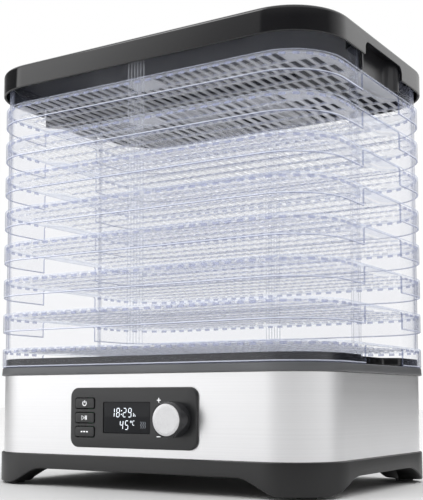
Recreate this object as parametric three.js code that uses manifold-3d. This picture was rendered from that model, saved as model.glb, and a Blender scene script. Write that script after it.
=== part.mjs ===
// Stacked-tray dryer: a fan and heater base with a control panel, eight clear
// perforated trays that stack on it, and a lift-off lid.
// Millimetres, +Z up, +X to the right, the control panel faces -Y.
// The origin is at the centre of the bounding box's base, on the surface it stands on.

import * as THREE from 'three';
import { mergeVertices } from 'three/addons/utils/BufferGeometryUtils.js';
import Module from 'manifold-3d';

const wasm = await Module();
wasm.setup();

// ---------------------------------------------------------------- driving sizes

// Plan of the stack. Every outline is the tray's plan, grown or shrunk.
const TRAY_HALF_X = 175;
const TRAY_HALF_Y = 126.5;
const TRAY_RADIUS = 50;
const LID_PROUD = 2.8;
const BAND_INSET = 2.8;
const BASE_INSET = 0.5;
const GAP = 0.3;

// Heights above the surface that the dryer stands on.
const FOOT_HEIGHT = 1.7;
const LEG_BOTTOM = 2;
const SKIRT_BOTTOM = 15.5;
const BAND_BOTTOM = 28.2;
const BAND_TOP = 98;
const DECK_SHOULDER = 105.2;
const DECK_RIM_TOP = 113;
const FLOOR_LEVEL_LOWEST = 122.7;
const TRAY_PITCH = 32.5;
const TRAY_COUNT = 8;
const LID_BOTTOM = 363.6;
const LID_TOP = 385;

// Tray walls.
const SKIRT_DEPTH = 17.2;
const SKIRT_WALL = 1.6;
const FLOOR_THICK = 1.8;
const NECK_INSET = 2.8;
const NECK_WALL = 1.6;
const NECK_HEIGHT = 30.4;

// Hand grips in the middle of the left and right sides.
const GRIP_HALF = 41;
const NECK_SCOOP = { half: 45, blend: 16, depth: 13.5 };
const BAY_SCOOP = { half: 40, blend: 14, depth: 9.6 };
const LID_NOTCH = { top: 375.6, radius: 7 };

// Perforations of a tray floor: long slots front to back, with a plain middle strip.
const SLOT_WIDTH = 2.6;
const SLOT_LENGTH = 92;
const SLOT_ROWS = 2;
const SLOT_ROW_PITCH = 106;
const SLOT_COLUMNS = 6;
const SLOT_FIRST_X = 22;
const SLOT_COLUMN_PITCH = 25.5;

// Control panel on the front of the band.
const PANEL = { halfX: 65.2, low: 35.3, high: 86.3, radius: 8, thick: 2.2, wall: 1 };
const PANEL_WINDOW_MARGIN = 2.4;
const BUTTON = { x: -49, levels: [72.9, 60.6, 48.7], halfX: 10.6, halfZ: 4.5, radius: 1.5 };
const BUTTON_PROUD = 0.9;
const BUTTON_NAMES = ['button_power', 'button_play', 'button_set'];
const DISPLAY = { x: -4.9, z: 61, halfX: 24.6, halfZ: 13.3, radius: 1.2 };
const KNOB = { x: 45.5, z: 60, radius: 14.6, height: 14.5 };

// Fan column.
const FAN = { x: 0, y: 8, blades: 7, hub: 17, tip: 50, bottom: 56, height: 14 };
const DUCT = { inner: 53, wall: 1.8, bottom: 54 };
const DECK_OPENING = 56;

// Smoothness of the curves.
const CORNER_STEPS = 5;
const SCOOP_STEPS = 4;
const ROUND_STEPS = 20;
const SMALL_ROUND_STEPS = 12;
const COARSE_STEPS = 8;
const SMALL_CORNER_STEPS = 2;
const MERGE_TOLERANCE = 1e-4;
const QUARTER = Math.PI / 2;

// A cutter runs past the faces that it cuts, and joined solids run into each other.
const OVERRUN = 1;
const OVERLAP = 1;
const THROUGH_WALL = 10;

// ---------------------------------------------------------------- worked-out sizes

const BAND_FRONT = -(TRAY_HALF_Y - BAND_INSET);
const PANEL_BACK = BAND_FRONT - GAP;
const PANEL_FRONT = PANEL_BACK - PANEL.thick;
const KNOB_BACK = PANEL_FRONT - GAP;
const KNOB_FRONT = KNOB_BACK - KNOB.height;
const LID_BACK = TRAY_HALF_Y + LID_PROUD;
const CENTRE_SHIFT_Y = -(KNOB_FRONT + LID_BACK) / 2;
const PAN_FLOOR_LOW = SKIRT_BOTTOM + 1.5;
const PAN_TOP = SKIRT_BOTTOM + 4;
const BOARD_FRONT = BAND_FRONT + 11.5;
const BOARD_THICK = 1.6;

// ---------------------------------------------------------------- materials

const MATERIALS = {
  glossBlack: { color: 0x0c0d0e, roughness: 0.12, metalness: 0 },
  mattBlack: { color: 0x17181a, roughness: 0.55, metalness: 0 },
  darkGrey: { color: 0x3a3c40, roughness: 0.5, metalness: 0 },
  panelGrey: { color: 0x4a4c50, roughness: 0.45, metalness: 0 },
  clear: { color: 0xdfe4f2, roughness: 0.08, metalness: 0, transparent: true, opacity: 0.35 },
  steel: { color: 0xc9cacc, roughness: 0.3, metalness: 1 },
  silver: { color: 0xd4d5d8, roughness: 0.22, metalness: 1 },
  rubber: { color: 0x0b0b0b, roughness: 0.9, metalness: 0 },
  board: { color: 0x1c5a34, roughness: 0.6, metalness: 0 },
  screen: { color: 0x15181c, roughness: 0.15, metalness: 0 },
  aluminium: { color: 0xa9abae, roughness: 0.4, metalness: 1 },
  mica: { color: 0xb9a888, roughness: 0.7, metalness: 0 },
};

// ---------------------------------------------------------------- outlines

const point = (x, y) => new THREE.Vector2(x, y);

// Points of an arc, from one angle to another, both ends included.
function arc(centreX, centreY, radius, from, to, steps) {
  const points = [];
  for (let step = 0; step <= steps; step += 1) {
    const angle = from + ((to - from) * step) / steps;
    points.push(point(centreX + radius * Math.cos(angle), centreY + radius * Math.sin(angle)));
  }
  return points;
}

// A rounded rectangle about the origin, anticlockwise.
function roundedRect(halfX, halfY, radius, steps = CORNER_STEPS) {
  const x = halfX - radius;
  const y = halfY - radius;
  return [
    ...arc(x, -y, radius, -QUARTER, 0, steps),
    ...arc(x, y, radius, 0, QUARTER, steps),
    ...arc(-x, y, radius, QUARTER, 2 * QUARTER, steps),
    ...arc(-x, -y, radius, 2 * QUARTER, 3 * QUARTER, steps),
  ];
}

// The stack's plan, drawn in by inset (or grown, when inset is negative).
function planOutline(inset) {
  return roundedRect(TRAY_HALF_X - inset, TRAY_HALF_Y - inset, TRAY_RADIUS - inset);
}

// How far a grip's wall is drawn in, at a place along the side.
function scoopDepth(y, scoop) {
  const along = Math.min(1, Math.max(0, (scoop.half - Math.abs(y)) / scoop.blend));
  return (scoop.depth * (1 - Math.cos(Math.PI * along))) / 2;
}

// The places along a side where a scoop's curve needs a point, from -half to +half.
function scoopPlaces(scoop) {
  const places = [];
  for (let step = 0; step <= SCOOP_STEPS; step += 1) {
    places.push(-scoop.half + (scoop.blend * step) / SCOOP_STEPS);
  }
  return [...places, ...places.map((y) => -y).reverse()];
}

// The stack's plan drawn in by inset, with a grip scooped out of both sides.
function scoopedOutline(inset, scoop) {
  const halfX = TRAY_HALF_X - inset;
  const halfY = TRAY_HALF_Y - inset;
  const radius = TRAY_RADIUS - inset;
  const x = halfX - radius;
  const y = halfY - radius;
  const rightSide = scoopPlaces(scoop).map(
    (along) => point(halfX - scoopDepth(along, scoop), along));
  const leftSide = rightSide.map((place) => point(-place.x, place.y)).reverse();
  return [
    ...arc(x, -y, radius, -QUARTER, 0, CORNER_STEPS),
    ...rightSide,
    ...arc(x, y, radius, 0, QUARTER, CORNER_STEPS),
    ...arc(-x, y, radius, QUARTER, 2 * QUARTER, CORNER_STEPS),
    ...leftSide,
    ...arc(-x, -y, radius, 2 * QUARTER, 3 * QUARTER, CORNER_STEPS),
  ];
}

function circle(x, y, radius, steps = ROUND_STEPS) {
  return arc(x, y, radius, 0, 4 * QUARTER, steps).slice(0, steps);
}

function movedOutline(outline, x, y) {
  return outline.map((place) => point(place.x + x, place.y + y));
}

// ---------------------------------------------------------------- solids

// A flat shape with holes, raised from one level to another.
function raised(outline, holes, low, high) {
  const shape = new THREE.Shape(outline);
  holes.forEach((hole) => shape.holes.push(new THREE.Path(hole)));
  const depth = high - low;
  const geometry = new THREE.ExtrudeGeometry(shape, { depth, bevelEnabled: false, steps: 1 });
  geometry.translate(0, 0, low);
  return geometry;
}

// A shape drawn on the front, x to the right and z up, with its back at y = back.
function raisedToFront(outline, holes, back, thick) {
  const geometry = raised(outline, holes, 0, thick);
  geometry.rotateX(QUARTER);
  geometry.translate(0, back, 0);
  return geometry;
}

// A shape drawn on the left-hand end, y along and z up, running from one x to another.
function raisedToSide(outline, low, high) {
  const geometry = raised(outline, [], 0, high - low);
  geometry.rotateX(QUARTER);
  geometry.rotateZ(QUARTER);
  geometry.translate(low, 0, 0);
  return geometry;
}

function block(x0, x1, y0, y1, z0, z1) {
  const geometry = new THREE.BoxGeometry(x1 - x0, y1 - y0, z1 - z0);
  geometry.translate((x0 + x1) / 2, (y0 + y1) / 2, (z0 + z1) / 2);
  return geometry;
}

// A turned solid on a vertical axis: profile is [radius, height] pairs, bottom to top.
function turned(profile, x, y, steps = ROUND_STEPS) {
  const geometry = new THREE.LatheGeometry(profile.map(([r, z]) => point(r, z)), steps);
  geometry.rotateX(QUARTER);
  geometry.translate(x, y, 0);
  return geometry;
}

// A turned solid on an axis that points out of the front: profile is [radius, distance out].
function turnedToFront(profile, x, back, z, steps = ROUND_STEPS) {
  const geometry = new THREE.LatheGeometry(profile.map(([r, out]) => point(r, out)), steps);
  geometry.rotateX(2 * QUARTER);
  geometry.translate(x, back, z);
  return geometry;
}

function rod(x, y, radius, low, high, steps = SMALL_ROUND_STEPS) {
  return turned([[0, low], [radius, low], [radius, high], [0, high]], x, y, steps);
}

function rodToFront(x, z, radius, back, length, steps = SMALL_ROUND_STEPS) {
  return turnedToFront([[0, 0], [radius, 0], [radius, length], [0, length]], x, back, z, steps);
}

function solidOf(geometry) {
  const bare = geometry.clone();
  bare.deleteAttribute('normal');
  bare.deleteAttribute('uv');
  const merged = mergeVertices(bare, MERGE_TOLERANCE);
  return new wasm.Manifold(new wasm.Mesh({
    numProp: 3,
    vertProperties: new Float32Array(merged.attributes.position.array),
    triVerts: new Uint32Array(merged.index.array),
  }));
}

function geometryOf(solid) {
  const mesh = solid.getMesh();
  const geometry = new THREE.BufferGeometry();
  geometry.setAttribute('position', new THREE.BufferAttribute(mesh.vertProperties, 3));
  geometry.setIndex(new THREE.BufferAttribute(mesh.triVerts, 1));
  geometry.computeVertexNormals();
  return geometry;
}

// A flat plate with many holes, each cut as a solid of its own.
function pierced(outline, holes, low, high) {
  const cutters = holes.map((hole) => raised(hole, [], low - OVERRUN, high + OVERRUN));
  return cut(raised(outline, [], low, high), ...cutters);
}

function joined(...geometries) {
  return geometryOf(geometries.map(solidOf).reduce((whole, piece) => whole.add(piece)));
}

function cut(geometry, ...cutters) {
  const solid = cutters.map(solidOf).reduce((whole, piece) => whole.subtract(piece), solidOf(geometry));
  return geometryOf(solid);
}

// ---------------------------------------------------------------- assembly

const dryer = new THREE.Group();
dryer.position.y = CENTRE_SHIFT_Y;

function addPart(name, geometry, look) {
  const mesh = new THREE.Mesh(geometry, new THREE.MeshStandardMaterial(MATERIALS[look]));
  mesh.name = name;
  dryer.add(mesh);
}

// ---------------------------------------------------------------- trays

const floorLevel = (tray) => FLOOR_LEVEL_LOWEST + (TRAY_COUNT - tray) * TRAY_PITCH;

function floorSlots() {
  const slots = [];
  for (let row = 0; row < SLOT_ROWS; row += 1) {
    const y = (row - (SLOT_ROWS - 1) / 2) * SLOT_ROW_PITCH;
    for (let column = 0; column < SLOT_COLUMNS; column += 1) {
      const x = SLOT_FIRST_X + column * SLOT_COLUMN_PITCH;
      slots.push(slotOutline(x, y), slotOutline(-x, y));
    }
  }
  return slots;
}

function slotOutline(x, y) {
  const halfX = SLOT_WIDTH / 2;
  const halfY = SLOT_LENGTH / 2;
  return [
    point(x - halfX, y - halfY),
    point(x + halfX, y - halfY),
    point(x + halfX, y + halfY),
    point(x - halfX, y + halfY),
  ];
}

// A clear moulding: a perforated floor, a skirt that hangs over the tray below,
// and a neck that rises inside the skirt of the tray above.
function trayGeometry(level) {
  const under = level - FLOOR_THICK;
  const floor = pierced(planOutline(0), floorSlots(), under, level);
  const skirtLow = level - SKIRT_DEPTH;
  const skirt = raised(planOutline(0), [planOutline(SKIRT_WALL)], skirtLow, under);
  const gripCut = block(
    -TRAY_HALF_X * 2, TRAY_HALF_X * 2, -GRIP_HALF, GRIP_HALF, skirtLow - OVERRUN, under);
  const neckOuter = scoopedOutline(NECK_INSET, NECK_SCOOP);
  const neckInner = scoopedOutline(NECK_INSET + NECK_WALL, NECK_SCOOP);
  const neck = raised(neckOuter, [neckInner], level, level + NECK_HEIGHT);
  return joined(floor, cut(skirt, gripCut), neck);
}

for (let tray = TRAY_COUNT; tray >= 1; tray -= 1) {
  addPart(`tray_${tray}`, trayGeometry(floorLevel(tray)), 'clear');
}

// ---------------------------------------------------------------- lid

const LID_WALL = 2.2;
const LID_SKIN = 1.8;
const LID_EDGE = 2.4;
const LID_CEILING = 1.9;
const LID_RIM_INSET = 5.4;
const LID_RIM_WALL = 1.6;
const LID_RIM_DEPTH = 7;
const BAY_WALL = 1.8;
const BAY_BOTTOM = 353;
const VENT = { halfX: 1.3, halfY: 24, radius: 1, columns: 8, firstX: 9, pitch: 9 };

function ventSlots() {
  const slots = [];
  const slot = roundedRect(VENT.halfX, VENT.halfY, VENT.radius, 1);
  for (let column = 0; column < VENT.columns; column += 1) {
    const x = VENT.firstX + column * VENT.pitch;
    slots.push(movedOutline(slot, x, 0), movedOutline(slot, -x, 0));
  }
  return slots;
}

// The notch over a grip: square at the lid's edge, with rounded upper corners.
function gripNotch() {
  const low = LID_BOTTOM - OVERRUN;
  const { radius } = LID_NOTCH;
  const y = GRIP_HALF - radius;
  const z = LID_NOTCH.top - radius;
  const outline = [
    point(-GRIP_HALF, low),
    point(GRIP_HALF, low),
    ...arc(y, z, radius, 0, QUARTER, CORNER_STEPS),
    ...arc(-y, z, radius, QUARTER, 2 * QUARTER, CORNER_STEPS),
  ];
  return raisedToSide(outline, -TRAY_HALF_X * 2, TRAY_HALF_X * 2);
}

// The glossy cover, with a small rounded top edge made in two steps.
function lidCoverGeometry() {
  const half = LID_EDGE / 2;
  const under = LID_TOP - LID_SKIN;
  const step = LID_TOP - half / 2;
  const walls = raised(planOutline(-LID_PROUD), [planOutline(LID_WALL - LID_PROUD)], LID_BOTTOM, under);
  const top = pierced(planOutline(half - LID_PROUD), ventSlots(), under, step);
  const crown = pierced(planOutline(LID_EDGE - LID_PROUD), ventSlots(), step, LID_TOP);
  return joined(cut(walls, gripNotch()), top, crown);
}

// The wall of a grip bay, following its scoop in plan.
function bayWall(side) {
  const outerX = TRAY_HALF_X - GAP;
  const outer = scoopPlaces(BAY_SCOOP).map(
    (y) => point(side * (outerX - scoopDepth(y, BAY_SCOOP)), y));
  const inner = outer.map((place) => point(place.x - side * BAY_WALL, place.y)).reverse();
  const outline = [...outer, ...inner];
  return raised(side > 0 ? outline : outline.reverse(), [], BAY_BOTTOM, LID_TOP - LID_SKIN - GAP);
}

const FRAME_OPENING = { halfX: 80, halfY: 30, radius: 8 };

// The inner moulding: a ceiling that is open under the vents, a locating rim inside the
// top tray's neck, and two grip bays.
function lidFrameGeometry() {
  const high = LID_TOP - LID_SKIN - GAP;
  const low = high - LID_CEILING;
  const opening = roundedRect(
    FRAME_OPENING.halfX, FRAME_OPENING.halfY, FRAME_OPENING.radius, SMALL_CORNER_STEPS);
  const ceiling = raised(planOutline(LID_WALL + GAP - LID_PROUD), [opening], low, high);
  const rimOuter = scoopedOutline(LID_RIM_INSET, NECK_SCOOP);
  const rimInner = scoopedOutline(LID_RIM_INSET + LID_RIM_WALL, NECK_SCOOP);
  const rim = raised(rimOuter, [rimInner], low - LID_RIM_DEPTH, low);
  return joined(ceiling, rim, bayWall(1), bayWall(-1));
}

addPart('lid_cover', lidCoverGeometry(), 'glossBlack');
addPart('lid_frame', lidFrameGeometry(), 'mattBlack');

// ---------------------------------------------------------------- deck and outlet grille

const DECK_WALL = 2;
const DECK_FLOOR_LOW = 100.4;
const DECK_FLOOR_HIGH = 102.4;
const DECK_RIM_INSET = 3.2;
const DECK_RIM_WALL = 2;
const BOSS = { x: 128, y: 92, radius: 5, bore: 2, boreDepth: 12 };
const BOSS_PLACES = [[-1, -1], [1, -1], [1, 1], [-1, 1]];

const bossX = (side) => side * BOSS.x;
const bossY = (side) => side * BOSS.y;

function deckGeometry() {
  const opening = circle(FAN.x, FAN.y, DECK_OPENING);
  const floor = raised(planOutline(0), [opening], DECK_FLOOR_LOW, DECK_FLOOR_HIGH);
  const shoulder = raised(
    planOutline(0), [planOutline(DECK_RIM_INSET + DECK_RIM_WALL)], DECK_FLOOR_HIGH, DECK_SHOULDER);
  const apron = raised(planOutline(0), [planOutline(DECK_WALL)], BAND_TOP, DECK_FLOOR_LOW);
  const rimOuter = scoopedOutline(DECK_RIM_INSET, NECK_SCOOP);
  const rimInner = scoopedOutline(DECK_RIM_INSET + DECK_RIM_WALL, NECK_SCOOP);
  const rim = raised(rimOuter, [rimInner], DECK_FLOOR_HIGH, DECK_RIM_TOP);
  const bosses = BOSS_PLACES.map(([sideX, sideY]) => rod(
    bossX(sideX), bossY(sideY), BOSS.radius, PAN_TOP + GAP, DECK_FLOOR_LOW + OVERLAP, COARSE_STEPS));
  const bores = BOSS_PLACES.map(([sideX, sideY]) => rod(
    bossX(sideX), bossY(sideY), BOSS.bore, PAN_TOP - OVERRUN, PAN_TOP + BOSS.boreDepth, COARSE_STEPS));
  return cut(joined(floor, apron, shoulder, rim, ...bosses), ...bores);
}

addPart('top_deck', deckGeometry(), 'darkGrey');

const GRILLE = { low: 99.2, high: 101.6, sectors: 6, ribHalfAngle: 0.09, steps: 3 };
const GRILLE_RINGS = [[16, 30], [34, 50]];

// A ring-shaped window between two radii and two angles.
function ringWindow(inner, outer, from, to) {
  return [
    ...arc(FAN.x, FAN.y, outer, from, to, GRILLE.steps),
    ...arc(FAN.x, FAN.y, inner, to, from, GRILLE.steps),
  ];
}

function grilleGeometry() {
  const windows = [];
  GRILLE_RINGS.forEach(([inner, outer]) => {
    for (let sector = 0; sector < GRILLE.sectors; sector += 1) {
      const from = (sector * 4 * QUARTER) / GRILLE.sectors + GRILLE.ribHalfAngle;
      const to = ((sector + 1) * 4 * QUARTER) / GRILLE.sectors - GRILLE.ribHalfAngle;
      windows.push(ringWindow(inner, outer, from, to));
    }
  });
  return pierced(circle(FAN.x, FAN.y, DECK_OPENING - GAP), windows, GRILLE.low, GRILLE.high);
}

addPart('outlet_grille', grilleGeometry(), 'mattBlack');

// ---------------------------------------------------------------- steel band

const BAND_WALL = 0.8;
const INLET = { x: 112, z: 48, hole: 5, flange: 9, bore: 3.4, neck: 3, rim: 5, length: 6 };
const PANEL_CORNER_STEPS = 4;
const PANEL_MIN_RADIUS = 1;

function panelOutline(shrink) {
  const halfZ = (PANEL.high - PANEL.low) / 2;
  const middleZ = (PANEL.high + PANEL.low) / 2;
  const radius = Math.max(PANEL_MIN_RADIUS, PANEL.radius - shrink);
  const outline = roundedRect(PANEL.halfX - shrink, halfZ - shrink, radius, PANEL_CORNER_STEPS);
  return movedOutline(outline, 0, middleZ);
}

function bandGeometry() {
  const band = raised(
    planOutline(BAND_INSET), [planOutline(BAND_INSET + BAND_WALL)], BAND_BOTTOM + GAP, BAND_TOP - GAP);
  const window = raisedToFront(
    panelOutline(PANEL_WINDOW_MARGIN), [], BAND_FRONT + THROUGH_WALL / 2, THROUGH_WALL);
  const cordHole = rodToFront(
    INLET.x, INLET.z, INLET.hole, -BAND_FRONT + THROUGH_WALL / 2, THROUGH_WALL);
  return cut(band, window, cordHole);
}

addPart('steel_band', bandGeometry(), 'steel');

// ---------------------------------------------------------------- base pan, legs and feet

const PAN_WALL = 3;
const LEG_THICK = 22;
const LEG_END = { front: 100, side: 53 };
const LEG_FLAT_END = { front: 140, side: 102 };
const LEG_STEPS = 5;
const INTAKE = { halfX: 3, halfY: 38, radius: 2, columns: 9, pitch: 11 };
const FOOT = { x: 150.5, y: 102, radius: 8, steps: 16 };

// The cutter between two legs: a flat-topped gap whose ends run down in an S to the feet.
function legGap(end, flatEnd) {
  const low = LEG_BOTTOM - OVERRUN;
  const curve = [];
  for (let step = 0; step <= LEG_STEPS; step += 1) {
    const along = step / LEG_STEPS;
    const rise = (1 + Math.cos(Math.PI * along)) / 2;
    curve.push(point(end + (flatEnd - end) * along, LEG_BOTTOM + (SKIRT_BOTTOM - LEG_BOTTOM) * rise));
  }
  const mirrored = curve.map((place) => point(-place.x, place.y)).reverse();
  return [point(-flatEnd, low), point(flatEnd, low), ...curve.reverse(), ...mirrored.reverse()];
}

function intakeSlots() {
  const slots = [];
  for (let column = 0; column < INTAKE.columns; column += 1) {
    const x = (column - (INTAKE.columns - 1) / 2) * INTAKE.pitch;
    const slot = roundedRect(INTAKE.halfX, INTAKE.halfY, INTAKE.radius, 1);
    slots.push(movedOutline(slot, FAN.x + x, FAN.y));
  }
  return slots;
}

function basePanGeometry() {
  const outline = planOutline(BASE_INSET);
  const legs = raised(
    outline, [planOutline(BASE_INSET + LEG_THICK)], LEG_BOTTOM, PAN_FLOOR_LOW + OVERLAP / 2);
  const frontGap = raisedToFront(
    legGap(LEG_END.front, LEG_FLAT_END.front), [], TRAY_HALF_Y * 2, TRAY_HALF_Y * 4);
  const sideGap = raisedToSide(
    legGap(LEG_END.side, LEG_FLAT_END.side), -TRAY_HALF_X * 2, TRAY_HALF_X * 2);
  const skirt = raised(outline, [planOutline(BASE_INSET + PAN_WALL)], SKIRT_BOTTOM, BAND_BOTTOM);
  const screwHoles = BOSS_PLACES.map(([sideX, sideY]) => movedOutline(
    circle(0, 0, BOSS.bore, COARSE_STEPS), bossX(sideX), bossY(sideY)));
  const floor = pierced(outline, [...intakeSlots(), ...screwHoles], PAN_FLOOR_LOW, PAN_TOP);
  const wells = BOSS_PLACES.map(([sideX, sideY]) => rod(
    bossX(sideX), bossY(sideY), BOSS.radius, LEG_BOTTOM - OVERRUN, PAN_FLOOR_LOW, COARSE_STEPS));
  return joined(cut(legs, frontGap, sideGap, ...wells), skirt, floor);
}

addPart('base_pan', basePanGeometry(), 'mattBlack');

BOSS_PLACES.forEach(([sideX, sideY], index) => {
  const pad = rod(sideX * FOOT.x, sideY * FOOT.y, FOOT.radius, 0, FOOT_HEIGHT, FOOT.steps);
  addPart(`foot_pad_${index + 1}`, pad, 'rubber');
});

const SCREW = { head: 3.6, headHeight: 2.2, shank: 1.6, length: 12 };

function screwProfile(low) {
  return [
    [0, low],
    [SCREW.head, low],
    [SCREW.head, low + SCREW.headHeight],
    [SCREW.shank, low + SCREW.headHeight],
    [SCREW.shank, low + SCREW.headHeight + SCREW.length],
    [0, low + SCREW.headHeight + SCREW.length],
  ];
}

BOSS_PLACES.forEach(([sideX, sideY], index) => {
  const low = PAN_FLOOR_LOW - GAP - SCREW.headHeight;
  const screw = turned(screwProfile(low), bossX(sideX), bossY(sideY), COARSE_STEPS);
  addPart(`base_screw_${index + 1}`, screw, 'aluminium');
});

// ---------------------------------------------------------------- cord inlet at the back

function inletGeometry() {
  const profile = [
    [INLET.bore, 0],
    [INLET.hole - GAP, 0],
    [INLET.hole - GAP, INLET.neck],
    [INLET.flange, INLET.neck],
    [INLET.flange, INLET.rim],
    [INLET.bore, INLET.length],
    [INLET.bore, 0],
  ];
  const geometry = turnedToFront(profile, 0, 0, 0, SMALL_ROUND_STEPS);
  geometry.rotateZ(2 * QUARTER);
  geometry.translate(INLET.x, -BAND_FRONT + GAP - INLET.neck, INLET.z);
  return geometry;
}

addPart('cord_inlet', inletGeometry(), 'mattBlack');

// ---------------------------------------------------------------- control panel

const BUTTON_CLEARANCE = 0.4;
const SHAFT_RADIUS = 3;
const SHAFT_CLEARANCE = 0.6;
const PANEL_BOX = { depth: 5, inset: PANEL_WINDOW_MARGIN + 0.6 };

function buttonOutline(z, grow) {
  const outline = roundedRect(
    BUTTON.halfX + grow, BUTTON.halfZ + grow, BUTTON.radius + grow, SMALL_CORNER_STEPS);
  return movedOutline(outline, BUTTON.x, z);
}

function displayOutline(grow) {
  const outline = roundedRect(
    DISPLAY.halfX + grow, DISPLAY.halfZ + grow, DISPLAY.radius, SMALL_CORNER_STEPS);
  return movedOutline(outline, DISPLAY.x, DISPLAY.z);
}

// The face plate, with a shallow box behind it that passes through the band's window.
function panelGeometry() {
  const holes = [
    ...BUTTON.levels.map((z) => buttonOutline(z, BUTTON_CLEARANCE)),
    displayOutline(0),
    circle(KNOB.x, KNOB.z, SHAFT_RADIUS + SHAFT_CLEARANCE, SMALL_ROUND_STEPS),
  ];
  const face = raisedToFront(panelOutline(0), holes, PANEL_BACK, PANEL.thick);
  const box = raisedToFront(
    panelOutline(PANEL_BOX.inset), [panelOutline(PANEL_BOX.inset + PANEL.wall)],
    PANEL_BACK + PANEL_BOX.depth, PANEL_BOX.depth);
  return joined(face, box);
}

addPart('panel_plate', panelGeometry(), 'panelGrey');

const WINDOW_THICK = 1.4;
const windowGeometry = raisedToFront(displayOutline(-GAP), [], PANEL_BACK - GAP, WINDOW_THICK);
addPart('display_window', windowGeometry, 'screen');

const SCREEN = { behind: 1, thick: 5, grow: 0.8 };
const screenGeometry = raisedToFront(
  displayOutline(SCREEN.grow), [], PANEL_BACK + SCREEN.behind + SCREEN.thick, SCREEN.thick);
addPart('display_module', screenGeometry, 'screen');

// Each key has a cap that passes through the plate and a wider foot behind it.
const KEY_TRAVEL = 1;
const KEY_FOOT = { grow: 0.9, gap: 0.4, thick: 1.6, stem: 2.2 };
const SWITCH_HEIGHT = 4.4;

function keyGeometry(z) {
  const capBack = PANEL_BACK + KEY_FOOT.gap + KEY_FOOT.thick;
  const capLength = capBack - PANEL_FRONT + BUTTON_PROUD;
  const cap = raisedToFront(buttonOutline(z, 0), [], capBack, capLength);
  const foot = raisedToFront(buttonOutline(z, KEY_FOOT.grow), [], capBack, KEY_FOOT.thick);
  const stemBack = BOARD_FRONT - SWITCH_HEIGHT - KEY_TRAVEL - GAP;
  const stem = rodToFront(
    BUTTON.x, z, KEY_FOOT.stem, stemBack, stemBack - capBack + OVERLAP, COARSE_STEPS);
  return joined(cap, foot, stem);
}

BUTTON.levels.forEach((z, index) => addPart(BUTTON_NAMES[index], keyGeometry(z), 'panelGrey'));

// The control board carries a switch under each key and a connector on its back.
const BOARD = { halfX: 58, halfZ: 19, switchHalf: 3 };
const CONNECTOR = { x0: -12, x1: 8, halfZ: 4, depth: 9 };

function controlBoardGeometry() {
  const middleZ = (PANEL.high + PANEL.low) / 2;
  const board = block(
    -BOARD.halfX, BOARD.halfX, BOARD_FRONT, BOARD_FRONT + BOARD_THICK,
    middleZ - BOARD.halfZ, middleZ + BOARD.halfZ);
  const switches = BUTTON.levels.map((z) => block(
    BUTTON.x - BOARD.switchHalf, BUTTON.x + BOARD.switchHalf,
    BOARD_FRONT - SWITCH_HEIGHT, BOARD_FRONT + OVERLAP,
    z - BOARD.switchHalf, z + BOARD.switchHalf));
  const connector = block(
    CONNECTOR.x0, CONNECTOR.x1, BOARD_FRONT + OVERLAP, BOARD_FRONT + CONNECTOR.depth,
    middleZ - CONNECTOR.halfZ, middleZ + CONNECTOR.halfZ);
  return joined(board, ...switches, connector);
}

addPart('control_board', controlBoardGeometry(), 'board');

// ---------------------------------------------------------------- knob and encoder

const KNOB_CAP = { radius: 13.2, thick: 1.6, seat: 1.3, bevel: 0.4 };
const KNOB_EDGE = { out: 0.9, in: 0.5 };
const KNOB_SOCKET = 9;

function knobGeometry() {
  const top = KNOB.height - KNOB_CAP.thick;
  const lip = KNOB_CAP.radius + GAP;
  return turnedToFront([
    [SHAFT_RADIUS + GAP, 0],
    [KNOB.radius, 0],
    [KNOB.radius, KNOB.height - KNOB_EDGE.out],
    [KNOB.radius - KNOB_EDGE.in, KNOB.height],
    [lip, KNOB.height],
    [lip, top],
    [0, top],
    [0, KNOB_SOCKET],
    [SHAFT_RADIUS + GAP, KNOB_SOCKET],
    [SHAFT_RADIUS + GAP, 0],
  ], KNOB.x, KNOB_BACK, KNOB.z, ROUND_STEPS);
}

addPart('knob_body', knobGeometry(), 'mattBlack');

// The bright turned disc on the knob's face.
addPart('knob_cap', turnedToFront([
  [0, 0],
  [KNOB_CAP.radius, 0],
  [KNOB_CAP.radius, KNOB_CAP.seat - KNOB_CAP.bevel],
  [KNOB_CAP.radius - KNOB_CAP.bevel, KNOB_CAP.seat],
  [0, KNOB_CAP.seat],
], KNOB.x, KNOB_FRONT + KNOB_CAP.thick - GAP, KNOB.z), 'silver');

const ENCODER = { half: 6.5, bush: 3.4, bushWall: 1.4, bushLength: 3, bodyDepth: 5.5, base: 2 };
const ENCODER_FRONT = BOARD_FRONT - GAP - ENCODER.bodyDepth;

function encoderGeometry() {
  const body = block(
    KNOB.x - ENCODER.half, KNOB.x + ENCODER.half, ENCODER_FRONT, BOARD_FRONT - GAP,
    KNOB.z - ENCODER.half, KNOB.z + ENCODER.half);
  const bush = rodToFront(
    KNOB.x, KNOB.z, ENCODER.bush + ENCODER.bushWall, ENCODER_FRONT + OVERLAP,
    ENCODER.bushLength + OVERLAP);
  const bore = rodToFront(
    KNOB.x, KNOB.z, ENCODER.bush, BOARD_FRONT - ENCODER.base, THROUGH_WALL * 2);
  return cut(joined(body, bush), bore);
}

addPart('encoder_body', encoderGeometry(), 'aluminium');

const SHAFT_BACK = BOARD_FRONT - ENCODER.base - SHAFT_CLEARANCE;
const SHAFT_END = KNOB_BACK - KNOB_SOCKET + GAP;
const shaftGeometry = rodToFront(KNOB.x, KNOB.z, SHAFT_RADIUS, SHAFT_BACK, SHAFT_BACK - SHAFT_END);
addPart('encoder_shaft', shaftGeometry, 'aluminium');

// ---------------------------------------------------------------- fan, motor and duct

const SHAFT = { radius: 2, bore: 2.3, low: 46 };
const MOTOR = { radius: 20, low: 28.1, high: 52.1, bossRadius: 7, bossHeight: 2 };
const HUB = { bore: 9, bevel: 2 };
const BLADE = { thick: 1.6, chord: 22, pitch: 0.55, root: 14 };

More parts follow.
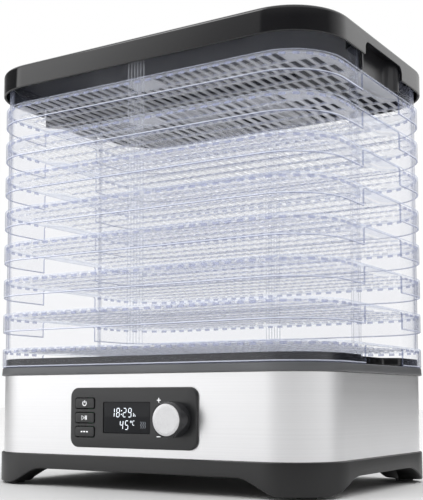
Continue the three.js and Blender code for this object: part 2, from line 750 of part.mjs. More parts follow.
function impellerGeometry() {
  const high = FAN.bottom + FAN.height;
  const boreTop = FAN.bottom + HUB.bore;
  const hub = turned([
    [SHAFT.bore, FAN.bottom],
    [FAN.hub, FAN.bottom],
    [FAN.hub, high - HUB.bevel],
    [FAN.hub - HUB.bevel, high],
    [0, high],
    [0, boreTop],
    [SHAFT.bore, boreTop],
    [SHAFT.bore, FAN.bottom],
  ], 0, 0);
  const blades = [];
  for (let blade = 0; blade < FAN.blades; blade += 1) {
    const geometry = new THREE.BoxGeometry(FAN.tip - BLADE.root, BLADE.chord, BLADE.thick);
    geometry.rotateX(BLADE.pitch);
    geometry.translate((FAN.tip + BLADE.root) / 2, 0, FAN.bottom + FAN.height / 2);
    geometry.rotateZ((blade * 4 * QUARTER) / FAN.blades);
    blades.push(geometry);
  }
  const geometry = joined(hub, ...blades);
  geometry.translate(FAN.x, FAN.y, 0);
  return geometry;
}

addPart('fan_impeller', impellerGeometry(), 'mattBlack');
const FAN_SHAFT_TOP = FAN.bottom + HUB.bore - GAP;
addPart('fan_shaft', rod(FAN.x, FAN.y, SHAFT.radius, SHAFT.low, FAN_SHAFT_TOP), 'aluminium');

addPart('fan_motor', turned([
  [0, MOTOR.low],
  [MOTOR.radius, MOTOR.low],
  [MOTOR.radius, MOTOR.high],
  [MOTOR.bossRadius, MOTOR.high],
  [MOTOR.bossRadius, MOTOR.high + MOTOR.bossHeight],
  [SHAFT.bore, MOTOR.high + MOTOR.bossHeight],
  [SHAFT.bore, SHAFT.low - GAP],
  [0, SHAFT.low - GAP],
], FAN.x, FAN.y, ROUND_STEPS), 'aluminium');

// The bridge that holds the motor over the intake.
const BRIDGE = { halfX: 66, footX: 52, halfY: 11, thick: 2, top: MOTOR.low - GAP };

function bridgeGeometry() {
  const low = PAN_TOP + GAP;
  const outline = [
    point(-BRIDGE.halfX, low),
    point(-BRIDGE.footX, low),
    point(-BRIDGE.footX, BRIDGE.top - BRIDGE.thick),
    point(BRIDGE.footX, BRIDGE.top - BRIDGE.thick),
    point(BRIDGE.footX, low),
    point(BRIDGE.halfX, low),
    point(BRIDGE.halfX, low + BRIDGE.thick),
    point(BRIDGE.footX + BRIDGE.thick, low + BRIDGE.thick),
    point(BRIDGE.footX + BRIDGE.thick, BRIDGE.top),
    point(-BRIDGE.footX - BRIDGE.thick, BRIDGE.top),
    point(-BRIDGE.footX - BRIDGE.thick, low + BRIDGE.thick),
    point(-BRIDGE.halfX, low + BRIDGE.thick),
  ];
  const geometry = raisedToFront(outline, [], BRIDGE.halfY, BRIDGE.halfY * 2);
  geometry.translate(FAN.x, FAN.y, 0);
  return geometry;
}

addPart('motor_bracket', bridgeGeometry(), 'aluminium');

const DUCT_OUTLINE = circle(FAN.x, FAN.y, DUCT.inner + DUCT.wall);
const DUCT_BORE = circle(FAN.x, FAN.y, DUCT.inner);
addPart('fan_duct', raised(DUCT_OUTLINE, [DUCT_BORE], DUCT.bottom, GRILLE.low - GAP), 'darkGrey');

// ---------------------------------------------------------------- heater

const HEATER = { radius: 38, wire: 3, level: 86 };
const SUPPORT = { arms: 3, halfWidth: 4, reach: 52, low: 80, high: 81.6, hub: 12 };

function heaterRing() {
  const profile = [];
  for (let step = 0; step <= COARSE_STEPS; step += 1) {
    const angle = -QUARTER + (step * 4 * QUARTER) / COARSE_STEPS;
    const radius = HEATER.radius + HEATER.wire * Math.cos(angle);
    profile.push([radius, HEATER.level + HEATER.wire * Math.sin(angle)]);
  }
  return turned(profile, FAN.x, FAN.y);
}

addPart('heater_element', heaterRing(), 'aluminium');

// A three-armed mica spider under the element.
function heaterSupport() {
  const arms = [];
  for (let arm = 0; arm < SUPPORT.arms; arm += 1) {
    const geometry = block(
      0, SUPPORT.reach, -SUPPORT.halfWidth, SUPPORT.halfWidth, SUPPORT.low, SUPPORT.high);
    geometry.rotateZ((arm * 4 * QUARTER) / SUPPORT.arms);
    arms.push(geometry);
  }
  const geometry = joined(rod(0, 0, SUPPORT.hub, SUPPORT.low, SUPPORT.high), ...arms);
  geometry.translate(FAN.x, FAN.y, 0);
  return geometry;
}

addPart('heater_support', heaterSupport(), 'mica');

const THERMOSTAT = { x: 68, radius: 7, neck: 5, low: 92, neckHeight: 5 };
addPart('thermostat', turned([
  [0, THERMOSTAT.low],
  [THERMOSTAT.neck, THERMOSTAT.low],
  [THERMOSTAT.neck, THERMOSTAT.low + THERMOSTAT.neckHeight],
  [THERMOSTAT.radius, THERMOSTAT.low + THERMOSTAT.neckHeight],
  [THERMOSTAT.radius, DECK_FLOOR_LOW - GAP],
  [0, DECK_FLOOR_LOW - GAP],
], FAN.x + THERMOSTAT.x, FAN.y, SMALL_ROUND_STEPS), 'aluminium');

// ---------------------------------------------------------------- power board

const POWER = { x0: -128, x1: -74, y0: -30, y1: 46, low: 24, railInset: 4, railHalf: 2 };
const TRANSFORMER = { inset: 8, side: 26, height: 22 };
const RELAY = { inset: 6, width: 12, length: 20, height: 15 };
const CAPACITOR = { inset: 14, radius: 6, height: 20 };

// The board stands on two rails and carries a transformer, a relay and a capacitor.
function powerBoardGeometry() {
  const top = POWER.low + BOARD_THICK;
  const board = block(POWER.x0, POWER.x1, POWER.y0, POWER.y1, POWER.low, top);
  const rails = [POWER.x0 + POWER.railInset, POWER.x1 - POWER.railInset].map((x) => block(
    x - POWER.railHalf, x + POWER.railHalf, POWER.y0, POWER.y1, PAN_TOP + GAP, POWER.low + OVERLAP));
  const transformerX = POWER.x0 + TRANSFORMER.inset;
  const transformerY = POWER.y0 + TRANSFORMER.inset;
  const transformer = block(
    transformerX, transformerX + TRANSFORMER.side, transformerY, transformerY + TRANSFORMER.side,
    top - OVERLAP, top + TRANSFORMER.height);
  const relayX = POWER.x1 - RELAY.inset;
  const relayY = POWER.y1 - RELAY.inset;
  const relay = block(
    relayX - RELAY.width, relayX, relayY - RELAY.length, relayY, top - OVERLAP, top + RELAY.height);
  const capacitor = rod(
    POWER.x0 + CAPACITOR.inset, POWER.y1 - CAPACITOR.inset, CAPACITOR.radius,
    top - OVERLAP, top + CAPACITOR.height);
  return joined(board, ...rails, transformer, relay, capacitor);
}

addPart('power_board', powerBoardGeometry(), 'board');

export default dryer;
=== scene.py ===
# Stacked-tray dryer: the visible model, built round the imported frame.
# Metres, +Z up, +X to the right; the control panel faces -Y.
import math

import bmesh
import bpy
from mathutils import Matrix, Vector


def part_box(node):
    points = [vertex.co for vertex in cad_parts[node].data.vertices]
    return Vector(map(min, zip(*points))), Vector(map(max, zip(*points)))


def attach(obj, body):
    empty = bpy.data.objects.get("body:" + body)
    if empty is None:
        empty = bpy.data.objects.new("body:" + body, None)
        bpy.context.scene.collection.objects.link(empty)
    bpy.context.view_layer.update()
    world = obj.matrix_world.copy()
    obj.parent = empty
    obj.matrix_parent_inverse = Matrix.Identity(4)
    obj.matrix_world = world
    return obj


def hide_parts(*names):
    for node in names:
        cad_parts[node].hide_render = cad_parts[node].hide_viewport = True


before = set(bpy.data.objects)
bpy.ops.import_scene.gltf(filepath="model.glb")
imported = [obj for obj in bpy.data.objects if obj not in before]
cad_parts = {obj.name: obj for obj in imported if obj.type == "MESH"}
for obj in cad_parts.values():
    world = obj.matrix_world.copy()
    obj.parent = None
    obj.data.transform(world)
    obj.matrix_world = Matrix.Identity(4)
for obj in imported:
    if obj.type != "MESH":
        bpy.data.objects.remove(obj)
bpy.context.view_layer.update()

MM = 0.001
QUARTER = math.pi / 2

# -------------------- places read from the frame

TRAY_LOW, TRAY_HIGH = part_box("tray_8")
MID_X = (TRAY_LOW.x + TRAY_HIGH.x) / 2
MID_Y = (TRAY_LOW.y + TRAY_HIGH.y) / 2
HALF_X = (TRAY_HIGH.x - TRAY_LOW.x) / 2
HALF_Y = (TRAY_HIGH.y - TRAY_LOW.y) / 2
PLAN_RADIUS = 50 * MM
TRAY_COUNT = 8


# -------------------- materials

CLOUD_SCALE = 14.0
GRAIN_SCALE = 900.0
GRAIN_DEPTH = 0.2 * MM
BRUSH_DEPTH = 0.1 * MM
CLEAR_ROUGHNESS = 0.06
CLEAR_IOR = 1.58
GLOW_ROUGHNESS = 0.4


def new_material(name):
    """A new material, its node tree and its shader."""
    material = bpy.data.materials.new(name)
    material.use_nodes = True
    tree = material.node_tree
    return material, tree, tree.nodes["Principled BSDF"]


def add_node(tree, kind, **inputs):
    """A new node with some inputs set. An underscore stands for a space in an input's name."""
    node = tree.nodes.new(kind)
    for key, value in inputs.items():
        node.inputs[key.replace("_", " ")].default_value = value
    return node


def tone_from(tree, noise, shader, stops, tones):
    """The noise picks a colour between two tones."""
    ramp = add_node(tree, "ShaderNodeValToRGB")
    for element, stop, tone in zip(ramp.color_ramp.elements, stops, tones):
        element.position = stop
        element.color = (*tone, 1)
    tree.links.new(noise, ramp.inputs["Fac"])
    tree.links.new(ramp.outputs["Color"], shader.inputs["Base Color"])


def roughness_from(tree, noise, shader, low, high):
    """The noise varies the roughness between two values."""
    gloss = add_node(tree, "ShaderNodeMapRange", To_Min=low, To_Max=high)
    tree.links.new(noise, gloss.inputs["Value"])
    tree.links.new(gloss.outputs["Result"], shader.inputs["Roughness"])


def bump_from(tree, noise, shader, strength, distance):
    """The noise raises the surface a little."""
    bump = add_node(tree, "ShaderNodeBump", Strength=strength, Distance=distance)
    tree.links.new(noise, bump.inputs["Height"])
    tree.links.new(bump.outputs["Normal"], shader.inputs["Normal"])


def times(colour, factor):
    return [channel * factor for channel in colour]


def moulded(name, colour, roughness, grain=0.0, variation=0.0, gloss_level=0.5):
    """A moulded plastic: an even colour, a slight mottling of gloss, and a fine grain in its surface."""
    material, tree, shader = new_material(name)
    shader.inputs["Base Color"].default_value = (*colour, 1)
    shader.inputs["Specular IOR Level"].default_value = gloss_level
    place = add_node(tree, "ShaderNodeTexCoord")
    cloud = add_node(tree, "ShaderNodeTexNoise", Scale=CLOUD_SCALE, Detail=3.0)
    tree.links.new(place.outputs["Object"], cloud.inputs["Vector"])
    roughness_from(tree, cloud.outputs["Fac"], shader, roughness * 0.85, roughness * 1.15)
    if variation:
        tones = times(colour, 1 - variation), times(colour, 1 + variation)
        tone_from(tree, cloud.outputs["Fac"], shader, (0.35, 0.65), tones)
    if grain:
        fine = add_node(tree, "ShaderNodeTexNoise", Scale=GRAIN_SCALE, Detail=2.0)
        tree.links.new(place.outputs["Object"], fine.inputs["Vector"])
        bump_from(tree, fine.outputs["Fac"], shader, grain, GRAIN_DEPTH)
    return material


def brushed(name, colour, roughness, stretch, strength):
    """A metal brushed along one direction: the streaks are noise stretched along it."""
    material, tree, shader = new_material(name)
    shader.inputs["Metallic"].default_value = 1.0
    place = add_node(tree, "ShaderNodeTexCoord")
    squeeze = add_node(tree, "ShaderNodeMapping", Scale=stretch)
    streaks = add_node(tree, "ShaderNodeTexNoise", Scale=1.0, Detail=4.0, Roughness=0.6)
    tree.links.new(place.outputs["Object"], squeeze.inputs["Vector"])
    tree.links.new(squeeze.outputs["Vector"], streaks.inputs["Vector"])
    noise = streaks.outputs["Fac"]
    tone_from(tree, noise, shader, (0.3, 0.7), (times(colour, 1 - strength), colour))
    roughness_from(tree, noise, shader, roughness * 0.8, roughness * 1.25)
    bump_from(tree, noise, shader, 0.06, BRUSH_DEPTH)
    return material


def see_through(name, tint, body, haze, edge_gain, edge_start=0.0):
    """Clear plastic: a tinted see-through surface mixed with a glossy one.

    haze is the glossy share seen square on. Past edge_start it changes by up to edge_gain, at a slant.
    """
    material, tree, shader = new_material(name)
    shader.inputs["Base Color"].default_value = (*body, 1)
    shader.inputs["Roughness"].default_value = CLEAR_ROUGHNESS
    shader.inputs["IOR"].default_value = CLEAR_IOR
    clear = add_node(tree, "ShaderNodeBsdfTransparent", Color=(*tint, 1))
    slant = add_node(tree, "ShaderNodeLayerWeight", Blend=0.35)
    amount = add_node(
        tree, "ShaderNodeMapRange", From_Min=edge_start, To_Min=haze,
        To_Max=min(1.0, max(0.0, haze + edge_gain)))
    tree.links.new(slant.outputs["Facing"], amount.inputs["Value"])
    mix = add_node(tree, "ShaderNodeMixShader")
    output = tree.nodes["Material Output"]
    tree.links.new(amount.outputs["Result"], mix.inputs["Fac"])
    tree.links.new(clear.outputs["BSDF"], mix.inputs[1])
    tree.links.new(shader.outputs["BSDF"], mix.inputs[2])
    tree.links.new(mix.outputs["Shader"], output.inputs["Surface"])
    return material


def glowing(name, colour, strength):
    """A surface that gives off a little light of its own colour."""
    material, _, shader = new_material(name)
    shader.inputs["Base Color"].default_value = (*colour, 1)
    shader.inputs["Emission Color"].default_value = (*colour, 1)
    shader.inputs["Emission Strength"].default_value = strength
    shader.inputs["Roughness"].default_value = GLOW_ROUGHNESS
    return material


GLOSS_BLACK = moulded("gloss_black", (0.006, 0.006, 0.007), 0.07)
SATIN_BLACK = moulded("satin_black", (0.004, 0.004, 0.0045), 0.36, grain=0.25, variation=0.15)
BAY_BLACK = moulded("grip_bay", (0.016, 0.016, 0.018), 0.3, variation=0.1)
LID_INNER = moulded("lid_inner", (0.005, 0.005, 0.006), 0.45, variation=0.2, gloss_level=0.12)
DECK_GREY = moulded("deck_grey", (0.060, 0.062, 0.066), 0.36, grain=0.2, variation=0.08)
PANEL_GREY = moulded("panel_grey", (0.0095, 0.0098, 0.0108), 0.30, grain=0.15, variation=0.05)
KEY_GREY = moulded("key_grey", (0.010, 0.0103, 0.0113), 0.36, grain=0.15)
SCREEN = moulded("screen", (0.005, 0.0055, 0.007), 0.1, gloss_level=0.2)
RUBBER = moulded("foot_rubber", (0.02, 0.02, 0.02), 0.8, grain=0.5)
BOARD = moulded("board_green", (0.03, 0.16, 0.07), 0.5, variation=0.2)
MICA = moulded("mica_sheet", (0.5, 0.42, 0.3), 0.6, grain=0.3, variation=0.25)
STEEL = brushed("band_steel", (0.74, 0.74, 0.75), 0.3, (2, 2, 1600), 0.06)
KNOB_BLACK = moulded("knob_black", (0.022, 0.022, 0.024), 0.22)
SILVER = brushed("knob_silver", (0.58, 0.58, 0.59), 0.24, (400, 40, 400), 0.08)
BRIGHT = brushed("bright_metal", (0.62, 0.62, 0.64), 0.35, (60, 60, 700), 0.15)
CLEAR_WALL = see_through("clear_wall", (0.99, 0.991, 0.995), (0.44, 0.47, 0.60), 0.02, 0.95, 0.50)
CLEAR_FLOOR = see_through("clear_floor", (0.994, 0.995, 0.998), (0.97, 0.973, 0.98), 0.34, -0.30, 0.60)
# Painted shade: the skirt's lower edge is a dark blue-grey, for the shade seen along the clear plastic's
# thick edge.
EDGE_PAINTED_SHADE = see_through("clear_edge_painted_shade", (0.60, 0.63, 0.74), (0.32, 0.35, 0.48), 0.28, 0.2)
# Painted light and shade: the neck's top lip, the ledge and the top of the skirt are a little more opaque and
# blue-grey, for the thin light line with bluish shade seen along them.
LIP_PAINTED_LIGHT_AND_SHADE = see_through("clear_lip_painted_light_and_shade", (0.92, 0.94, 0.98), (0.72, 0.75, 0.86), 0.14, 0.2)
# Painted light and shade: a more opaque blue-grey band near the skirt's lower edge stands in for the light
# that the thick edge catches and bends.
SKIRT_LINE_PAINTED_LIGHT_AND_SHADE = see_through("skirt_line_painted_light_and_shade", (0.84, 0.855, 0.91), (0.62, 0.65, 0.75), 0.50, 0.2)
NECK_RIB = see_through("neck_rib", (0.97, 0.975, 0.985), (0.86, 0.88, 0.92), 0.10, 0.2)
SLOT_SIDE = see_through("slot_side", (0.985, 0.987, 0.99), (0.95, 0.953, 0.96), 0.07, 0.1)
# Painted shade: the slots' short end walls are a darker blue-grey than the rest of the clear plastic.
SLOT_END_PAINTED_SHADE = see_through("slot_end_painted_shade", (0.78, 0.80, 0.87), (0.50, 0.53, 0.65), 0.26, 0.1)
# Painted highlight: each slot's bevelled lower rim is whiter and more opaque, so that it shows as a fine
# light outline.
SLOT_RIM_PAINTED_HIGHLIGHT = see_through("slot_rim_painted_highlight", (0.98, 0.982, 0.987), (0.95, 0.953, 0.96), 0.30, 0.0)
# Painted shade: the lugs under each floor are a darker blue-grey than the clear plastic, so that they show as
# a row of bluish dashes under the ledge.
LUG_PAINTED_SHADE = see_through("stacking_lug", (0.84, 0.855, 0.92), (0.56, 0.585, 0.72), 0.20, 0.1)
PRINT_WHITE = moulded("print_white", (0.75, 0.76, 0.78), 0.5)
GLOW = glowing("display_glow", (0.75, 0.80, 0.86), 0.35)
FAINT_GLOW = glowing("faint_glow", (0.20, 0.22, 0.25), 0.35)


# -------------------- mesh helpers

def mesh_of(bm, name):
    mesh = bpy.data.meshes.new(name)
    bm.to_mesh(mesh)
    bm.free()
    return mesh


def placed(name, data):
    """A new object in the scene."""
    made = bpy.data.objects.new(name, data)
    bpy.context.scene.collection.objects.link(made)
    return made


def finish_object(bm, name, materials, body, *nodes, slot=None, smooth=35):
    """Turns a bmesh into a piece that rides on a body, and stands for CAD nodes."""
    bmesh.ops.recalc_face_normals(bm, faces=bm.faces)
    mesh = mesh_of(bm, name)
    for material in materials:
        mesh.materials.append(material)
    for polygon in mesh.polygons:
        polygon.use_smooth = smooth > 0
    if smooth > 0:
        mesh.set_sharp_from_angle(angle=math.radians(smooth))
    piece = placed(name, mesh)
    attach(piece, body)
    if nodes:
        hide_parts(*nodes)
    return piece


def arc(centre, radius, start, sweep, steps):
    """Points along an arc, with both of its ends."""
    return [
        (centre[0] + radius * math.cos(start + sweep * i / steps),
         centre[1] + radius * math.sin(start + sweep * i / steps))
        for i in range(steps + 1)
    ]


def circle(radius, steps, centre):
    return arc(centre, radius, 0.0, 2 * math.pi, steps)[:-1]


def corner_centres(half_x, half_y, radius):
    """The middles of a rounded rectangle's corner arcs, anticlockwise, and the angle each arc starts at."""
    x, y = half_x - radius, half_y - radius
    return (x, -y, -QUARTER), (x, y, 0), (-x, y, QUARTER), (-x, -y, 2 * QUARTER)


def rounded(half_x, half_y, radius, steps, centre):
    points = []
    for x, y, start in corner_centres(half_x, half_y, radius):
        points += arc((centre[0] + x, centre[1] + y), radius, start, QUARTER, steps)
    return points


# The places along a side where the plan has points: closer together where a grip curves.
GRIP_EDGE = 41 * MM
HAIR = 1e-6
SIDE_PLACES = [y * MM for y in (0, 8, 16, 24, 28, 30, 32, 33, 34, 35, 36, 37, 38, 39, 40, 40.7)]
SIDE_PLACES += [GRIP_EDGE - HAIR, GRIP_EDGE, 41.6 * MM, 42.5 * MM, 43.5 * MM, 45 * MM, 48 * MM, 60 * MM]
SIDE_ALONG = [-y for y in reversed(SIDE_PLACES)] + SIDE_PLACES[1:]
CORNER_STEPS = 14
SMALLEST_RADIUS = 1 * MM
NECK_SCOOP = {"half": 45 * MM, "blend": 16 * MM, "depth": 13.5 * MM}
BAY_SCOOP = {"half": 40 * MM, "blend": 14 * MM, "depth": 9.6 * MM}


def scoop_depth(y, half, blend, depth):
    """How far a grip's wall is drawn in at y: all of depth in the middle, and an S down to none at half."""
    along = min(1.0, max(0.0, (half - abs(y)) / blend))
    return depth * (1 - math.cos(math.pi * along)) / 2


def neck_scoop(y):
    return scoop_depth(y, **NECK_SCOOP)


def bay_scoop(y):
    return scoop_depth(y, **BAY_SCOOP)


def no_scoop(_y):
    return 0.0


def plan(inset, scoop=no_scoop):
    """The stack's plan drawn in by inset, anticlockwise, as (x, y, distance along the side or None)."""
    half_x, half_y, radius = HALF_X - inset, HALF_Y - inset, max(PLAN_RADIUS - inset, SMALLEST_RADIUS)
    corners = [
        [(x, y, None) for x, y in arc((cx, cy), radius, start, QUARTER, CORNER_STEPS)]
        for cx, cy, start in corner_centres(half_x, half_y, radius)
    ]
    right = [(half_x - scoop(along), along, along) for along in SIDE_ALONG]
    left = [(-x, -y, -along) for x, y, along in right]
    return [*corners[0], *right, *corners[1], *corners[2], *left, *corners[3]]


def ring_of(bm, inset, level, scoop):
    """One ring of vertices. level is a height, or a function of the place along the side."""
    height = level if callable(level) else (lambda _along: level)
    return [
        bm.verts.new((MID_X + x, MID_Y + y, height(along)))
        for x, y, along in plan(inset, scoop)
    ]


def bridge(bm, first, second, look=0):
    """Faces between two rings. look is a material's number, or a function of the side that gives it."""
    count = len(first)
    for i in range(count):
        j = (i + 1) % count
        face = bm.faces.new((first[i], first[j], second[j], second[i]))
        face.material_index = look(i) if callable(look) else look


def joined(bm, rings, closed=False, look=0):
    """Faces from each ring to the next, and from the last to the first if closed."""
    following = rings[1:] + rings[:1] if closed else rings[1:]
    for first, second in zip(rings, following):
        bridge(bm, first, second, look)


def swept(bm, profile, closed=False):
    """Rings round the plan, joined in turn. A profile point is (inset, level, scoop, look to the next)."""
    rings = [ring_of(bm, inset, level, scoop) for inset, level, scoop, _ in profile]
    following = rings[1:] + rings[:1] if closed else rings[1:]
    for first, second, point in zip(rings, following, profile):
        bridge(bm, first, second, point[3])
    return rings


def tube(bm, outer, inner, start, end, scoop=no_scoop):
    """An upright wall round the plan, between two insets and two levels."""
    places = ((outer, start), (outer, end), (inner, end), (inner, start))
    swept(bm, [(inset, level, scoop, 0) for inset, level in places], closed=True)


def widened(outline, amount):
    """A small convex outline with each point moved out from the middle, by amount in x and in y."""
    middle_x = sum(x for x, _ in outline) / len(outline)
    middle_y = sum(y for _, y in outline) / len(outline)
    return [
        (x + math.copysign(amount, x - middle_x), y + math.copysign(amount, y - middle_y))
        for x, y in outline
    ]


def fill_between(bm, loops, look=0):
    """Fills a flat face inside the first loop and outside the others."""
    edges = []
    for loop in loops:
        for i, vertex in enumerate(loop):
            other = loop[(i + 1) % len(loop)]
            edges.append(bm.edges.get((vertex, other)) or bm.edges.new((vertex, other)))
    made = bmesh.ops.triangle_fill(bm, use_beauty=True, use_dissolve=False, edges=edges)
    for item in made["geom"]:
        if isinstance(item, bmesh.types.BMFace):
            item.material_index = look


def pierced_fill(
        bm, top_ring, bottom_ring, holes, top, bottom, look=0, wall_look=None, bevel=0.0, bevel_look=0):
    """Fills between two rings, with holes right through: holes are lists of (x, y).

    wall_look gives the look of one side of a hole. A bevel widens each hole's lower rim.
    """
    top_loops, bottom_loops = [top_ring], [bottom_ring]
    for hole in holes:
        upper = [bm.verts.new((x, y, top)) for x, y in hole]
        lower = [bm.verts.new((x, y, bottom + bevel)) for x, y in hole]
        top_loops.append(upper)
        if bevel:
            rim = [bm.verts.new((x, y, bottom)) for x, y in widened(hole, bevel)]
            bridge(bm, lower, rim, bevel_look)
            bottom_loops.append(rim)
        else:
            bottom_loops.append(lower)
        bridge(bm, upper, lower, wall_look or look)
    fill_between(bm, top_loops, look)
    fill_between(bm, bottom_loops, look)


# -------------------- trays

FLOOR_THICK = 1.8 * MM
NECK_HEIGHT = 30.4 * MM
SKIRT_WALL = 1.6 * MM
NECK_INSET = 2.8 * MM
NECK_WALL = 1.6 * MM
FLOOR_EDGE = 5.0 * MM
TRAY_EDGE = 0.4 * MM
LINE_HIGH = 1.3 * MM
GRIP_CORNER = 2.5 * MM
SLOT = {"width": 6.6, "length": 21.4, "pitch_x": 9.4, "pitch_y": 24.2, "rows": 10, "columns": 18}
SLOT_BEVEL = 0.5 * MM
PLAIN_HALF = 13 * MM
RIB_PLACES = [x * MM for x in (-8, -4.8, -1.6, 1.6, 4.8, 8)]
RIB_HALF = 0.45 * MM
RIB_PROUD = 0.9 * MM
RIB_ROOT = 0.3 * MM
LUG_SIZE = {"length": 5.6, "deep": 0.9, "high": 2.2, "pitch": 11.3}
LUG_ROOT = 0.1 * MM
# The tray is one clear plastic. Its edge, lip, line, slot end, lug and rim looks are tinted copies of it that
# paint light and shade.
WALL, FLOOR, EDGE, LIP, SIDE, END, LINE, RIB, LUG, RIM = range(10)
TRAY_LOOKS = (
    CLEAR_WALL, CLEAR_FLOOR, EDGE_PAINTED_SHADE, LIP_PAINTED_LIGHT_AND_SHADE, SLOT_SIDE, SLOT_END_PAINTED_SHADE, SKIRT_LINE_PAINTED_LIGHT_AND_SHADE, NECK_RIB, LUG_PAINTED_SHADE,
    SLOT_RIM_PAINTED_HIGHLIGHT)


def inside(place, outline):
    """True if a place lies inside a closed outline."""
    x, y = place
    within = False
    for (x0, y0), (x1, y1) in zip(outline, outline[1:] + outline[:1]):
        if (y0 > y) != (y1 > y) and x < x0 + (x1 - x0) * (y - y0) / (y1 - y0):
            within = not within
    return within


def slot_holes():
    """Brick rows of long slots, front to back, with a plain strip at the middle of the front and back."""
    holes = []
    inner = [(x, y) for x, y, _ in plan(FLOOR_EDGE + 0.6 * MM, neck_scoop)]
    limit_x = HALF_X - FLOOR_EDGE - 2 * MM
    half_w, half_l = SLOT["width"] * MM / 2, SLOT["length"] * MM / 2
    for row in range(SLOT["rows"]):
        y = (row - (SLOT["rows"] - 1) / 2) * SLOT["pitch_y"] * MM
        plain_half = PLAIN_HALF if row in (0, SLOT["rows"] - 1) else 0.0
        offset = 0.5 if row % 2 else 0.0
        for column in range(-SLOT["columns"] - 1, SLOT["columns"] + 1):
            x = (column + offset) * SLOT["pitch_x"] * MM
            if abs(x) < plain_half or abs(x) + half_w > limit_x:
                continue
            signs = ((-1, -1), (1, -1), (1, 1), (-1, 1))
            corners = [(x + side_x * half_w, y + side_y * half_l) for side_x, side_y in signs]
            if all(inside(corner, inner) for corner in corners):
                holes.append([(MID_X + cx, MID_Y + cy) for cx, cy in corners])
    return holes


SLOT_HOLES = slot_holes()


def slot_wall(side):
    """A slot's short ends get a darker, bluer look than its long sides: painted shade, for the shade seen in
    them.
    """
    return SIDE if side % 2 else END


def notched(full, lifted, radius):
    """A skirt's lower edge: full depth, but lifted over the grip, with rounded inner corners."""
    def height(along):
        if along is None or abs(along) >= GRIP_EDGE:
            return full
        into = GRIP_EDGE - abs(along)
        if into < radius:
            return lifted - radius + math.sqrt(radius ** 2 - (radius - into) ** 2)
        return lifted
    return height


def block(bm, low, high, look):
    """A closed box between two corners."""
    corners = [
        bm.verts.new((x, y, z)) for z in (low[2], high[2])
        for x, y in ((low[0], low[1]), (high[0], low[1]), (high[0], high[1]), (low[0], high[1]))]
    bridge(bm, corners[:4], corners[4:], look)
    for loop in (corners[:4], corners[4:]):
        bm.faces.new(loop).material_index = look


def neck_ribs(bm, level, high):
    """Upright ribs inside the neck, at the middle of the front and the back."""
    wall = HALF_Y - NECK_INSET - NECK_WALL
    for place in RIB_PLACES:
        x = MID_X + place
        for side in (-1, 1):
            near, far = sorted((
                MID_Y + side * (wall + RIB_ROOT), MID_Y + side * (wall - RIB_PROUD)))
            block(bm, (x - RIB_HALF, near, level - RIB_ROOT), (x + RIB_HALF, far, high), RIB)


def stacking_lug(bm, place, along, under):
    """One lug under the floor: place is its middle on the outline, along the outline's direction there."""
    half, deep = LUG_SIZE["length"] * MM / 2, LUG_SIZE["deep"] * MM
    inward = Vector((-along.y, along.x)) * deep
    corners = [place - along * half, place + along * half]
    corners += [corners[1] + inward, corners[0] + inward]
    rings = [
        [bm.verts.new((corner.x, corner.y, z)) for corner in corners]
        for z in (under - LUG_SIZE["high"] * MM, under + LUG_ROOT)
    ]
    bridge(bm, *rings, LUG)
    for ring in rings:
        bm.faces.new(ring).material_index = LUG


def stacking_lugs(bm, under):
    """Small lugs under the floor's edge, all round inside the skirt except over the grips."""
    outline = plan(SKIRT_WALL - 0.1 * MM)
    grip = GRIP_EDGE + LUG_SIZE["length"] * MM
    walked = LUG_SIZE["pitch"] * MM / 2
    for (x0, y0, _), (x1, y1, _) in zip(outline, outline[1:] + outline[:1]):
        stretch = math.hypot(x1 - x0, y1 - y0)
        while walked < stretch:
            t = walked / stretch
            x, y = x0 + (x1 - x0) * t, y0 + (y1 - y0) * t
            walked += LUG_SIZE["pitch"] * MM
            if abs(y) < grip and abs(x) > HALF_X - PLAN_RADIUS:
                continue
            along = Vector(((x1 - x0) / stretch, (y1 - y0) / stretch))
            stacking_lug(bm, Vector((MID_X + x, MID_Y + y)), along, under)
        walked -= stretch


